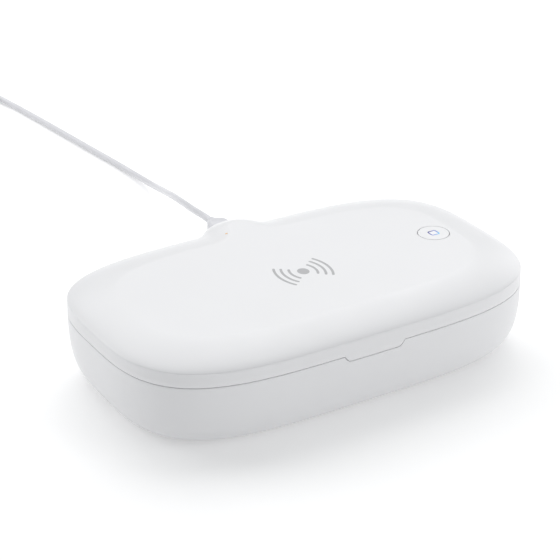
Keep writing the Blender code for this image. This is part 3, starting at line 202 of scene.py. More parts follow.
LIGHT_RADIUS = 0.55 * MM
LIGHT_DEPTH = 2.0 * MM
LIGHT_DOME = 0.12 * MM
MARK_X = -0.2 * MM
MARK_Y = -4.2 * MM
MARK_THICKNESS = 0.05 * MM
MARK_DOT = (3.0 * MM, 3.4 * MM)
MARK_STROKE = 1.35 * MM
MARK_REACHES = (6.7 * MM, 10.4 * MM, 13.85 * MM)
MARK_RADII = (11.4 * MM, 17.2 * MM, 21.7 * MM)
MARK_FRONT_ANGLE = 0.52
MARK_BACK_ANGLE = 0.46
MARK_DOT_SIDES = 72
MARK_ARC_STEPS = 26
MARK_END_STEPS = 8

# The lead
CABLE_RADIUS = 1.9 * MM
CABLE_LIFT = 0.2 * MM
COIL_MIDDLE_RADIUS = 20.4 * MM
COIL_STEP = 4.7 * MM
COIL_LAYER_TURNS = 2.25
COIL_CLIMB_TURNS = 0.5
COIL_LIFT = 1.3 * MM
COIL_X = -15.6 * MM
COIL_Y = 436.0 * MM
CORD_TURN_POINTS = 48
TAIL_LENGTH = 46.0 * MM
USB_A_MOULD = (15.6 * MM, 24.0 * MM, 7.8 * MM)
USB_A_RELIEF = 9.0 * MM
USB_A_STEPS = 8
USB_A_LIFT = 0.2 * MM
ROUTE_SPACING = 2.5 * MM
ROUTE_STEPS = 24

# The studio, in metres and watts
FLOOR_REACH = 3.0
WORLD_COLOUR = (0.97, 0.985, 1.0, 1.0)
WORLD_STRENGTH = 0.475
LIGHTS_AIM = (0.0, 0.05, 0.03)
# Name, place, width, power
SOFTBOXES = (
    ("back_softbox", (0.35, 1.0, 1.4), 1.6, 15.7),
    ("high_right_softbox", (1.0, 0.5, 1.3), 1.3, 3.0),
    ("back_left_softbox", (-0.9, 1.2, 0.8), 0.9, 6.1),
    ("right_softbox", (1.6, 0.7, 0.6), 0.9, 3.3),
    ("front_right_softbox", (1.3, -1.2, 0.45), 0.9, 6.1),
)

# What follows from these
HALF_X = LENGTH / 2
HALF_Y = DEPTH / 2
MIDDLE_Y = -HUMP_REACH / 2
HUMP_CENTRE_Y = HALF_Y + HUMP_REACH - HUMP_RADIUS
FRONT_Y = MIDDLE_Y - HALF_Y
BACK_Y = MIDDLE_Y + HALF_Y + HUMP_REACH
HINGE_Y = BACK_Y - HINGE_BACK_INSET
BASE_RIM_Z = SEAM_Z - SEAM_GAP / 2
LID_RIM_Z = SEAM_Z + SEAM_GAP / 2
BASE_FLOOR_Z = BASE_BOTTOM_Z + WALL
CEILING_Z = HEIGHT - WALL


# Camera


def make_camera():
    data = bpy.data.cameras.new("photo_camera")
    data.sensor_width = SENSOR_WIDTH
    data.lens = CAMERA_LENS
    data.clip_start, data.clip_end = (v * MM for v in CAMERA_CLIP)
    camera = bpy.data.objects.new("photo_camera", data)
    bpy.context.scene.collection.objects.link(camera)
    azimuth, elevation, roll = (math.radians(v) for v in CAMERA_ANGLES)
    target = Vector(CAMERA_TARGET) * MM
    back = Vector((math.sin(azimuth) * math.cos(elevation),
                   -math.cos(azimuth) * math.cos(elevation), math.sin(elevation)))
    right = (-back).cross(Vector((0.0, 0.0, 1.0))).normalized()
    up = right.cross(-back)
    turned_right = right * math.cos(roll) + up * math.sin(roll)
    turned_up = up * math.cos(roll) - right * math.sin(roll)
    place = target + back * CAMERA_DISTANCE * MM
    camera.matrix_world = Matrix((
        (turned_right.x, turned_up.x, back.x, place.x),
        (turned_right.y, turned_up.y, back.y, place.y),
        (turned_right.z, turned_up.z, back.z, place.z),
        (0.0, 0.0, 0.0, 1.0)))
    bpy.context.scene.camera = camera


# Materials

# Where the values of the noise texture mostly lie
NOISE_SPAN = (0.3, 0.7)


class Shader:
    """A Principled material with helpers for procedural detail in object coordinates."""

    def __init__(self, name, colour, roughness, metallic=0.0, **values):
        self.material = bpy.data.materials.new(name)
        self.material.use_nodes = True
        self.tree = self.material.node_tree
        self.shader = self.tree.nodes["Principled BSDF"]
        self.colour = colour
        self.shader.inputs["Base Color"].default_value = (*colour, 1.0)
        self.shader.inputs["Roughness"].default_value = roughness
        self.shader.inputs["Metallic"].default_value = metallic
        for key, value in values.items():
            socket = self.shader.inputs[key.replace("_", " ")]
            socket.default_value = value
        self.height = None
        self.place = self.node("ShaderNodeTexCoord").outputs["Object"]

    def node(self, kind, **settings):
        made = self.tree.nodes.new(kind)
        for key, value in settings.items():
            setattr(made, key, value)
        return made

    def link(self, a, b):
        self.tree.links.new(a, b)

    def noise(self, scale, detail=3.0, stretch=None):
        made = self.node("ShaderNodeTexNoise")
        made.inputs["Scale"].default_value = scale
        made.inputs["Detail"].default_value = detail
        if stretch:
            mapping = self.node("ShaderNodeMapping")
            mapping.inputs["Scale"].default_value = stretch
            self.link(self.place, mapping.inputs["Vector"])
            self.link(mapping.outputs["Vector"], made.inputs["Vector"])
        else:
            self.link(self.place, made.inputs["Vector"])
        return made.outputs["Fac"]

    def spread(self, value, low, high, source=NOISE_SPAN):
        made = self.node("ShaderNodeMapRange")
        made.inputs["From Min"].default_value = source[0]
        made.inputs["From Max"].default_value = source[1]
        made.inputs["To Min"].default_value = low
        made.inputs["To Max"].default_value = high
        self.link(value, made.inputs["Value"])
        return made.outputs["Result"]

    def ramp(self, value, stops):
        made = self.node("ShaderNodeValToRGB")
        ramp = made.color_ramp
        while len(ramp.elements) < len(stops):
            ramp.elements.new(0.5)
        for element, (position, colour) in zip(ramp.elements, stops):
            element.position = position
            element.color = (*colour, 1.0)
        self.link(value, made.inputs["Fac"])
        return made.outputs["Color"]

    def vary_colour(self, scale, amount):
        """Soft changes of the base colour, darker by amount and lighter by half of it."""
        low = tuple(c * (1 - amount) for c in self.colour)
        high = tuple(min(1.0, c * (1 + amount / 2)) for c in self.colour)
        colour = self.ramp(self.noise(scale), tuple(zip(NOISE_SPAN, (low, high))))
        self.link(colour, self.shader.inputs["Base Color"])

    def vary_roughness(self, scale, low, high, stretch=None):
        noise = self.noise(scale, detail=4.0, stretch=stretch)
        self.link(self.spread(noise, low, high), self.shader.inputs["Roughness"])

    def grain(self, scale, strength, depth, stretch=None):
        """Fine relief; a second call lays its relief over the first."""
        bump = self.node("ShaderNodeBump")
        bump.inputs["Strength"].default_value = strength
        bump.inputs["Distance"].default_value = depth
        self.link(self.noise(scale, detail=2.0, stretch=stretch), bump.inputs["Height"])
        if self.height:
            self.link(self.height, bump.inputs["Normal"])
        self.height = bump.outputs["Normal"]
        self.link(self.height, self.shader.inputs["Normal"])

    def glow(self, colour, *sockets):
        """Feeds a colour from the nodes into the sockets named."""
        for socket in sockets:
            self.link(colour, self.shader.inputs[socket])
        return self.material


def surface(name, colour, roughness, metallic=0.0, tone=None, gloss=None, relief=(), **values):
    """A material with soft changes of tone (scale, amount) and of gloss (scale, low, high), and
    layers of relief (scale, strength, depth). A stretch may end gloss and a layer of relief."""
    made = Shader(name, colour, roughness, metallic, **values)
    if tone:
        made.vary_colour(*tone)
    if gloss:
        made.vary_roughness(*gloss)
    for layer in relief:
        made.grain(*layer)
    return made.material


def white_plastic(name, colour=(0.80, 0.80, 0.81), roughness=0.36):
    return surface(name, colour, roughness, tone=(14.0, 0.012),
                   gloss=(60.0, roughness - 0.03, roughness + 0.05),
                   relief=((2600.0, 0.10, 0.02 * MM), (240.0, 0.05, 0.05 * MM)),
                   Coat_Weight=0.12, Coat_Roughness=0.25)


def lit_amber():
    made = Shader("lit_amber", (0.80, 0.54, 0.30), 0.2, Emission_Strength=0.12)
    stops = ((0.2, (1.0, 0.58, 0.24)), (0.8, (1.0, 0.72, 0.40)))
    return made.glow(made.ramp(made.noise(900.0), stops), "Emission Color")


def lit_icon():
    """Deep blue at the icon's back left, running to light blue at its front right."""
    made = Shader("lit_icon", (0.07, 0.08, 0.30), 0.3, Emission_Strength=0.10)
    split = made.node("ShaderNodeSeparateXYZ")
    made.link(made.place, split.inputs["Vector"])
    across = made.node("ShaderNodeMath", operation="SUBTRACT")
    made.link(split.outputs["X"], across.inputs[0])
    made.link(split.outputs["Y"], across.inputs[1])
    middle = BUTTON_X - (MIDDLE_Y + BUTTON_Y)
    share = made.spread(across.outputs["Value"], 0.0, 1.0,
                        (middle - ICON_OUTER, middle + ICON_OUTER))
    stops = ((0.08, (0.04, 0.04, 0.20)), (0.35, (0.08, 0.11, 0.42)),
             (0.65, (0.10, 0.20, 0.62)), (0.92, (0.14, 0.58, 0.85)))
    return made.glow(made.ramp(share, stops), "Emission Color", "Base Color")


def lit_face():
    made = Shader("lit_face", (0.84, 0.84, 0.86), 0.3, Emission_Strength=0.03)
    stops = tuple(zip(NOISE_SPAN, ((0.90, 0.92, 1.0), (1.0, 1.0, 1.0))))
    return made.glow(made.ramp(made.noise(500.0), stops), "Emission Color")


def make_materials():
    return {
        "white": white_plastic("white_shell_plastic"),
        "button": white_plastic("button_plastic", (0.82, 0.82, 0.83), 0.30),
        "liner": surface("liner_plastic", (0.74, 0.75, 0.77), 0.22, tone=(18.0, 0.02),
                         gloss=(90.0, 0.16, 0.28), relief=((900.0, 0.08, 0.03 * MM),),
                         Coat_Weight=0.3),
        "mark": surface("printed_grey_ink", (0.44, 0.44, 0.45), 0.5, tone=(900.0, 0.05),
                        relief=((3000.0, 0.2, 0.01 * MM),)),
        "reflector": surface("bright_reflector", (0.86, 0.86, 0.88), 0.12, 1.0,
                             gloss=(40.0, 0.06, 0.2, (1.0, 12.0, 12.0)),
                             relief=((300.0, 0.15, 0.05 * MM, (0.2, 6.0, 6.0)),)),
        "steel": surface("plated_steel", (0.50, 0.50, 0.51), 0.28, 1.0,
                         gloss=(700.0, 0.2, 0.38), relief=((1800.0, 0.2, 0.01 * MM),)),
        "copper": surface("enamelled_copper", (0.68, 0.30, 0.13), 0.3, 1.0, tone=(400.0, 0.12),
                          relief=((2400.0, 0.15, 0.02 * MM),), Coat_Weight=0.6),
        "board": surface("green_board", (0.03, 0.17, 0.08), 0.42, tone=(160.0, 0.25),
                         relief=((700.0, 0.3, 0.03 * MM),), Coat_Weight=0.4),
        "dark": surface("dark_plastic", (0.035, 0.035, 0.04), 0.45, gloss=(300.0, 0.36, 0.55),
                        relief=((1500.0, 0.3, 0.03 * MM),)),
        "rubber": surface("grey_rubber", (0.42, 0.43, 0.44), 0.78, tone=(220.0, 0.08),
                          relief=((1400.0, 0.5, 0.04 * MM),)),
        "quartz": surface("clear_quartz", (0.92, 0.95, 0.97), 0.04, gloss=(30.0, 0.02, 0.08),
                          relief=((90.0, 0.05, 0.04 * MM),), Transmission_Weight=0.92,
                          IOR=1.46),
        "tube": surface("ultraviolet_tube", (0.86, 0.88, 0.92), 0.1,
                        gloss=(60.0, 0.06, 0.2, (1.0, 5.0, 5.0)), Transmission_Weight=0.55,
                        IOR=1.46),
        "cable": surface("lead_jacket", (0.66, 0.66, 0.685), 0.42, tone=(60.0, 0.03),
                         gloss=(200.0, 0.36, 0.5), relief=((1100.0, 0.2, 0.03 * MM),),
                         Coat_Weight=0.5, Coat_Roughness=0.3),
        "mould": surface("lead_moulding", (0.66, 0.66, 0.69), 0.38, tone=(80.0, 0.02),
                         relief=((1600.0, 0.18, 0.02 * MM),), Coat_Weight=0.5,
                         Coat_Roughness=0.3),
        "amber": lit_amber(),
        "icon": lit_icon(),
        "halo": lit_face(),
    }


# Mesh helpers


def shade(data):
    """Smooth shading between hard edges, with the large flat faces left flat."""
    data.shade_smooth()
    data.set_sharp_from_angle(angle=math.radians(SHARP_ANGLE))
    for face in data.polygons:
        face.use_smooth = len(face.vertices) <= SMOOTH_FACE_CORNERS


def new_object(name, bm):
    bmesh.ops.recalc_face_normals(bm, faces=bm.faces)
    data = bpy.data.meshes.new(name)
    bm.to_mesh(data)
    bm.free()
    shade(data)
    obj = bpy.data.objects.new(name, data)
    bpy.context.scene.collection.objects.link(obj)
    return obj


def loft(name, rings):
    """A closed solid through rings of one number of points, with a flat face at each end."""
    bm = bmesh.new()
    rows = [[bm.verts.new(point) for point in ring] for ring in rings]
    count = len(rows[0])
    for lower, upper in zip(rows, rows[1:]):
        for i in range(count):
            j = (i + 1) % count
            bm.faces.new((lower[i], lower[j], upper[j], upper[i]))
    bmesh.ops.triangulate(bm, faces=bm.faces[:])
    bm.faces.new(reversed(rows[0]))
    bm.faces.new(rows[-1])
    return new_object(name, bm)


def lathe(name, profile, centre, sides=96):
    """A round piece about an upright axis from its profile of radius and height."""
    rings = []
    for radius, z in profile:
        rings.append([(centre[0] + radius * math.cos(2 * math.pi * i / sides),
                       centre[1] + radius * math.sin(2 * math.pi * i / sides), z)
                      for i in range(sides)])
    return loft(name, rings)


def cylinder(name, radius, low, high, axis="Z", sides=64):
    """A cylinder from the middle of one end to that of the other, along Z or X."""
    low, high = Vector(low), Vector(high)
    bm = bmesh.new()
    bmesh.ops.create_cone(bm, cap_ends=True, segments=sides, radius1=radius, radius2=radius,
                          depth=(high - low).length)
    turn = Matrix.Rotation(math.pi / 2, 4, "Y") if axis == "X" else Matrix()
    bmesh.ops.transform(bm, matrix=Matrix.Translation((low + high) / 2) @ turn, verts=bm.verts)
    return new_object(name, bm)


def box(name, low, high, round_by=0.0):
    bm = bmesh.new()
    bmesh.ops.create_cube(bm, size=1.0)
    low, high = Vector(low), Vector(high)
    for vert in bm.verts:
        vert.co = Vector(a + (c + 0.5) * (b - a) for a, b, c in zip(low, high, vert.co))
    if round_by:
        bmesh.ops.bevel(bm, geom=bm.edges[:], offset=round_by, segments=3, affect="EDGES",
                        profile=0.5)
    return new_object(name, bm)


def boolean(obj, operation, *others):
    """Applies Booleans at once and removes the tools."""
    for other in others:
        modifier = obj.modifiers.new(other.name, "BOOLEAN")
        modifier.operation = operation
        modifier.solver = "EXACT"
        modifier.object = other
    bpy.context.view_layer.update()
    graph = bpy.context.evaluated_depsgraph_get()
    data = bpy.data.meshes.new_from_object(obj.evaluated_get(graph))
    old = obj.data
    obj.modifiers.clear()
    obj.data = data
    bpy.data.meshes.remove(old)
    for other in others:
        mesh = other.data
        bpy.data.objects.remove(other, do_unlink=True)
        bpy.data.meshes.remove(mesh)
    shade(data)
    return obj


def cut(obj, *others):
    return boolean(obj, "DIFFERENCE", *others)


def add(obj, *others):
    return boolean(obj, "UNION", *others)


def dress(obj, material, slot, body, *nodes):
    """Gives a piece its material, its body and the CAD nodes that it stands for; slot is not used.
    """
    obj.data.materials.clear()
    obj.data.materials.append(material)
    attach(obj, body)
    if nodes:
        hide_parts(*nodes)
    return obj


def paint(node, material):
    for place in node.material_slots:
        place.material = material
    if not node.material_slots:
        node.data.materials.append(material)


# Outlines


def oval_point(half_x, half_y, power_x, power_y, x=None, y=None):
    """The first-quadrant point of a rounded oblong at one x or one y."""
    if x is not None:
        cosine = min(1.0, (x / half_x)) ** (power_x / 2)
        return x, half_y * max(0.0, 1 - cosine * cosine) ** (1 / power_y)
    sine = min(1.0, (y / half_y)) ** (power_y / 2)
    return half_x * max(0.0, 1 - sine * sine) ** (1 / power_x), y


def quarter(half_x, half_y, power_x, power_y, start_x, steps_x, steps_y, extra=()):
    """Points from start_x on the long side round to the middle of the end."""
    corner_x = half_x * 0.5 ** (1 / power_x)
    corner_y = half_y * 0.5 ** (1 / power_y)
    shares = sorted(set([i / steps_x for i in range(steps_x)] + list(extra)))
    points = [oval_point(half_x, half_y, power_x, power_y,
                         x=start_x + (corner_x - start_x) * s) for s in shares]
    points += [oval_point(half_x, half_y, power_x, power_y, y=corner_y * (1 - i / steps_y))
               for i in range(steps_y)]
    return points


# Finer steps along the front where the tab's sides are, as shares of the way to its corner
TAB_SHARES = tuple((12.5 + 0.25 * i) / 96.0 for i in range(28))


def level_of(height):
    """A height as a function of x and y, where it can also be a number."""
    return height if callable(height) else (lambda x, y: height)


def housing_ring(inset, hump_inset, height):
    """The housing's outline drawn in by inset. height is a number or a function of x and y."""
    half_x, half_y = HALF_X - inset, HALF_Y - inset
    front = quarter(half_x, half_y, END_POWER, FRONT_POWER, 0.0, *HOUSING_STEPS, TAB_SHARES)
    back = quarter(half_x, half_y, END_POWER, BACK_POWER, HUMP_HALF_FOOT, *HOUSING_STEPS)
    foot_y = back[0][1]
    lobe = HUMP_RADIUS - hump_inset
    rise = foot_y - HUMP_CENTRE_Y
    fillet = (HUMP_HALF_FOOT ** 2 + rise ** 2 - lobe ** 2) / (2 * (lobe - rise))
    lean = math.atan2(rise + fillet, HUMP_HALF_FOOT)
    arc = []
    for i in range(1, FILLET_POINTS):
        angle = -math.pi / 2 - (math.pi / 2 - lean) * i / FILLET_POINTS
        arc.append((HUMP_HALF_FOOT + fillet * math.cos(angle),
                    foot_y + fillet + fillet * math.sin(angle)))
    for i in range(LOBE_STEPS + 1):
        angle = lean + (math.pi / 2 - lean) * i / LOBE_STEPS
        arc.append((lobe * math.cos(angle), HUMP_CENTRE_Y + lobe * math.sin(angle)))
    points = back[::-1] + arc
    points += [(-x, y) for x, y in points[-2::-1]]
    points += [(-half_x, 0.0)]
    points += [(-x, -y) for x, y in front[::-1]]
    points += [(x, -y) for x, y in front[1:]]
    points += [(half_x, 0.0)]
    level = level_of(height)
    return [(x, y + MIDDLE_Y, level(x, y)) for x, y in points]


def tab_drop(x, y, grow):
    """How far the seam drops for the front tab at a place, with soft corners above and below."""
    if y > 0:
        return 0.0
    half_top, half_bottom = TAB_TOP / 2 + grow, TAB_BOTTOM / 2 + grow
    slope = (half_top - half_bottom) / TAB_DEPTH
    drop = (half_top - abs(x)) / slope
    soft = TAB_ROUND * TAB_SOFTNESS
    if drop > -SOFT_REACH * soft:
        drop = max(0.0, -soft * math.log(1 + math.exp(-drop / soft)) + drop)
    else:
        drop = 0.0
    if drop < TAB_DEPTH + SOFT_REACH * soft:
        return TAB_DEPTH - soft * math.log(1 + math.exp((TAB_DEPTH - drop) / soft))
    return TAB_DEPTH


def seam(level, grow, lift=0.0):
    """A rim's height, with the tab's sides moved out by grow."""
    base = tab_drop(HALF_X, -1.0, grow)
    return lambda x, y: level - (tab_drop(x, y, grow) - base if y < 0 else 0.0) + lift


def base_rim(lift=0.0):
    """The base's rim, a little closer to the lid everywhere but near the hinge."""
    level = seam(BASE_RIM_Z, TAB_SIDE_GAP, lift)
    return lambda x, y: level(x, y) + RIM_LIFT * min(
        1.0, max(0.0, (RIM_LIFT_START - y) / RIM_LIFT_REACH))


def between(low, high, share):
    """A height part of the way from one level to another, each a number or a function."""
    first, second = level_of(low), level_of(high)
    return lambda x, y: first(x, y) + (second(x, y) - first(x, y)) * share


def bowl_rings(wall, floor_z, steps):
    """The bowl's rings from its floor up to near the seam."""
    rings = []
    reach = BASE_INSET - wall / 2
    for step in range(steps, -1, -1):
        angle = BOWL_LAST_ANGLE + (math.pi / 2 - BOWL_LAST_ANGLE) * step / steps
        share = 1.0 if step == steps else 1 - math.cos(angle) ** (2 / BASE_POWER)
        rise = 1 - math.sin(angle) ** (2 / BASE_POWER)
        rings.append(housing_ring(wall + reach * share, wall + reach * BASE_HUMP_SHARE * share,
                                  floor_z + (SEAM_Z - floor_z) * rise))
    return rings


def shoulder_rings(wall, low_z, top_z, steps, power=SHOULDER_POWER):
    rings = []
    for step in range(steps + 1):
        angle = math.pi / 2 * step / steps
        share = 1.0 if step == steps else 1 - math.cos(angle) ** (2 / power)
        inset = wall + CREASE_INSET + SHOULDER_WIDTH * share
        hump_inset = wall + CREASE_INSET + SHOULDER_WIDTH * LID_HUMP_SHARE * share
        z = low_z + (top_z - low_z) * math.sin(angle) ** (2 / power)
        rings.append(housing_ring(inset, hump_inset, z))
    return rings


def plain_ring(half_x, half_y, power_x, power_front, power_back, z):
    """A rounded oblong without the hump."""
    front = quarter(half_x, half_y, power_x, power_front, 0.0, PLAIN_STEPS, PLAIN_STEPS)
    back = quarter(half_x, half_y, power_x, power_back, 0.0, PLAIN_STEPS, PLAIN_STEPS)
    points = back[::-1] + [(-x, y) for x, y in back[1:]]
    points += [(-half_x, 0.0)] + [(-x, -y) for x, y in front[::-1]]
    points += [(x, -y) for x, y in front[1:]] + [(half_x, 0.0)]
    return [(x, y + MIDDLE_Y, z) for x, y in points]


def chamber_ring(grow, z, draft=0.0):
    return plain_ring(CHAMBER_HALF_X + grow - draft, CHAMBER_HALF_Y + grow - draft,
                      CHAMBER_POWER, CHAMBER_POWER, CHAMBER_POWER, z)


def flange_ring(inset, z):
    return plain_ring(HALF_X - inset, HALF_Y - inset, END_POWER, FRONT_POWER, BACK_POWER, z)


def hinge_slab(name, outline, half_width):
    return loft(name, [[(x, HINGE_Y + y, HINGE_Z + z) for y, z in outline]
                       for x in (-half_width, half_width)])


def arc_points(radius, start, end, count):
    return [(radius * math.cos(start + (end - start) * i / count),
             radius * math.sin(start + (end - start) * i / count)) for i in range(count + 1)]


def corner_places(half_x, half_y):
    return [(sx * half_x, MIDDLE_Y + sy * half_y) for sx in (-1, 1) for sy in (-1, 1)]


def ease(share):
    return share * share * (3 - 2 * share)


# Shells


def make_base(mats):
    rim, below_rim = base_rim(), base_rim(-EDGE_ROUND)
    low = SEAM_Z - TAB_DEPTH - STRAIGHT_WALL
    outer = bowl_rings(0.0, BASE_BOTTOM_Z, BOWL_STEPS) + [housing_ring(EPS, EPS, low)]
    outer += [housing_ring(0.0, 0.0, between(low, below_rim, share)) for share in (0.35, 0.7)]
    outer += [housing_ring(0.0, 0.0, below_rim),
              housing_ring(EDGE_MIDDLE, EDGE_MIDDLE, base_rim(-EDGE_MIDDLE)),
              housing_ring(EDGE_ROUND, EDGE_ROUND, rim)]
    inner = [housing_ring(WALL, WALL, rim)]
    inner += bowl_rings(WALL, BASE_FLOOR_Z, INNER_BOWL_STEPS)[::-1]
    base = loft("base_bowl", outer + inner)

    wide = HALF_X + OVERRUN
    tower_front = BACK_Y - TOWER_DEPTH
    top = HINGE_Z - TOWER_TOP_DROP
    high = HINGE_Z + KNUCKLE_RADIUS + WALL
    over = high + OVERRUN
    # The hinge's tower, cut away round its knuckle and for the lid's barrels beside it
    footprint = loft("tower_outline", [housing_ring(0.0, 0.0, TOWER_FLOOR_Z - 1.0 * MM),
                                       housing_ring(0.0, 0.0, over)])
    tower = box("tower_block", (-TOWER_HALF, tower_front, TOWER_FLOOR_Z),
                (TOWER_HALF, BACK_Y + OVERRUN, high - WALL / 2))
    boolean(tower, "INTERSECT", footprint)
    half = KNUCKLE_NECK / 2
    seat = SEAT_RADIUS - EPS * 5
    wide_lean, lean = math.asin(half / seat), math.asin(half / KNUCKLE_RADIUS)
    drop = math.asin(TOWER_TOP_DROP / seat)
    far = SEAT_RADIUS + OVERRUN
    outline = arc_points(seat, wide_lean - math.pi / 2, 0.0, SEAT_ARC_STEPS)
    outline += [(far, 0.0), (far, far), (-far, far), (-far, -TOWER_TOP_DROP)]
    outline += arc_points(seat, math.pi + drop, math.pi * 1.5 - wide_lean, SEAT_ARC_STEPS)
    outline += arc_points(KNUCKLE_RADIUS, math.pi * 1.5 - lean, lean - math.pi / 2,
                          KNUCKLE_ARC_STEPS)
    cut(tower, hinge_slab("knuckle_around", outline, KNUCKLE_WIDTH / 2 + GAP))
    for side in (-1, 1):
        near, distant = sorted((side * KNUCKLE_WIDTH / 2, side * wide))
        cut(tower, box("above_tower", (near, FRONT_Y, top), (distant, BACK_Y + OVERRUN, over)),
            cylinder("barrel_seat", SEAT_RADIUS, (near, HINGE_Y, HINGE_Z),
                     (distant, HINGE_Y, HINGE_Z), axis="X", sides=BARREL_SIDES))
    boss = box("port_boss", (PORT_X - BOSS_WIDTH / 2, BACK_Y - 3 * WALL, PORT_Z - BOSS_HEIGHT / 2),
               (PORT_X + BOSS_WIDTH / 2, BACK_Y - EPS, PORT_Z + BOSS_HEIGHT / 2), BOSS_ROUND)
    add(base, tower, boss)
    cut(base,
        box("port_cavity", (PORT_X - CAVITY_HALF, tower_front - OVERRUN, CAVITY_FLOOR_Z),
            (PORT_X + CAVITY_HALF, BACK_Y - CAVITY_BACK_WALL, CAVITY_TOP_Z)),
        rounded_bar_y("port_opening", SOCKET_WIDTH + 2 * GAP, SOCKET_HEIGHT + 2 * GAP,
                      SOCKET_HEIGHT / 2, BACK_Y - OVERRUN, BACK_Y + OVERRUN),
        cylinder("base_pin_hole", PIN_HOLE_RADIUS, (-wide, HINGE_Y, HINGE_Z),
                 (wide, HINGE_Y, HINGE_Z), axis="X"))
    for x, y in corner_places(FOOT_X, FOOT_Y):
        cut(base, cylinder("foot_recess", FOOT_RADIUS + GAP, (x, y, BASE_BOTTOM_Z - OVERRUN),
                           (x, y, BASE_BOTTOM_Z + FOOT_RECESS)))
    return dress(base, mats["white"], "white_shell", "base", "base_shell")


def make_lid(mats):
    rim, above_rim = seam(LID_RIM_Z, 0.0), seam(LID_RIM_Z, 0.0, EDGE_ROUND)
    flat = HEIGHT - MARK_THICKNESS
    outer = [housing_ring(EDGE_ROUND, EDGE_ROUND, rim),
             housing_ring(EDGE_MIDDLE, EDGE_MIDDLE, seam(LID_RIM_Z, 0.0, EDGE_MIDDLE)),
             housing_ring(0.0, 0.0, above_rim)]
    for share in (0.3, 0.6, 0.85):
        lean = CREASE_INSET * share
        outer.append(housing_ring(lean, lean, between(above_rim, CREASE_Z, share)))
    shoulder = shoulder_rings(0.0, CREASE_Z, flat, SHOULDER_STEPS, SHOULDER_FACE_POWER)
    inner = [housing_ring(WALL, WALL, rim)]
    inner += shoulder_rings(WALL, CREASE_Z - INNER_SHOULDER_DROP, CEILING_Z,
                            INNER_SHOULDER_STEPS)
    lid = loft("lid_cap", inner[::-1] + outer + shoulder)
    solid = loft("lid_solid", [housing_ring(0.0, 0.0, LID_RIM_Z)] + shoulder)

    cut(lid, box("tower_notch", (-TOWER_HALF - GAP * 2, BACK_Y - TOWER_DEPTH - GAP * 2,
                                 BASE_BOTTOM_Z),
                 (TOWER_HALF + GAP * 2, BACK_Y + OVERRUN, HINGE_Z)))
    barrel = cylinder("lid_barrel", BARREL_RADIUS, (-TOWER_HALF - WALL, HINGE_Y, HINGE_Z),
                      (TOWER_HALF + WALL, HINGE_Y, HINGE_Z), axis="X", sides=BARREL_SIDES)
    add(barrel, box("barrel_root", (-TOWER_HALF - WALL, HINGE_Y, HINGE_Z),
                    (TOWER_HALF + WALL, BACK_Y, CREASE_Z)))
    boolean(barrel, "INTERSECT", solid)
    add(lid, barrel)
    lean = math.asin(SLOT_RISE / KNUCKLE_CLEAR_RADIUS)
    under = BASE_BOTTOM_Z - HINGE_Z
    outline = [(-SEAT_RADIUS, under), (OVERRUN * 2, under), (OVERRUN * 2, SLOT_RISE)]
    outline += arc_points(KNUCKLE_CLEAR_RADIUS, lean, math.pi - lean, SLOT_ARC_STEPS)
    outline += [(-SEAT_RADIUS, SLOT_RISE)]
    cut(lid, hinge_slab("knuckle_slot", outline, KNUCKLE_WIDTH / 2 + GAP),
        cylinder("lid_pin_hole", PIN_HOLE_RADIUS, (-BARREL_HALF, HINGE_Y, HINGE_Z),
                 (BARREL_HALF, HINGE_Y, HINGE_Z), axis="X"))
    x, y = BUTTON_X, MIDDLE_Y + BUTTON_Y
    hole = BUTTON_RADIUS + BUTTON_GAP
    profile = [(hole, CEILING_Z - OVERRUN), (hole, flat - EDGE_ROUND)]
    profile += [(hole + EDGE_ROUND * (1 - math.cos(a)), flat - EDGE_ROUND * (1 - math.sin(a)))
                for a in EDGE_ANGLES]
    profile += [(hole + EDGE_ROUND, flat), (hole + EDGE_ROUND, flat + OVERRUN)]
    light_y = MIDDLE_Y + LIGHT_Y
    cut(lid, lathe("button_hole", profile, (x, y), sides=BUTTON_SIDES),
        cylinder("light_hole", LIGHT_RADIUS + GAP / 2, (LIGHT_X, light_y, CEILING_Z - OVERRUN),
                 (LIGHT_X, light_y, HEIGHT + OVERRUN), sides=48))
    return dress(lid, mats["white"], "white_shell", "lid", "lid_shell")


def rounded_section(width, height, corner, y, centre):
    """A rounded oblong that stands across y; centre is its middle's x and z."""
    corner = min(corner, width / 2 - EPS / 4, height / 2 - EPS / 4)
    ring = []
    for step, (sx, sz) in enumerate(((1, 1), (-1, 1), (-1, -1), (1, -1))):
        for i in range(CORNER_POINTS):
            angle = math.pi / 2 * (step + i / (CORNER_POINTS - 1))
            ring.append((centre[0] + sx * (width / 2 - corner) + corner * math.cos(angle), y,
                         centre[1] + sz * (height / 2 - corner) + corner * math.sin(angle)))
    return ring


def rounded_bar_y(name, width, height, corner, low, high):
    return loft(name, [rounded_section(width, height, corner, y, (PORT_X, PORT_Z))
                       for y in (low, high)])


def rounded_post(name, size, corner, levels):
    """A square post with rounded corners about the button's middle; levels are (z, inset)."""
    middle = MIDDLE_Y + BUTTON_Y
    rings = []
    for z, inset in levels:
        ring = rounded_section(size - 2 * inset, size - 2 * inset, corner - inset, 0.0, (0.0, 0.0))
        rings.append([(BUTTON_X + x, middle + y, z) for x, _, y in ring])
    return loft(name, rings)


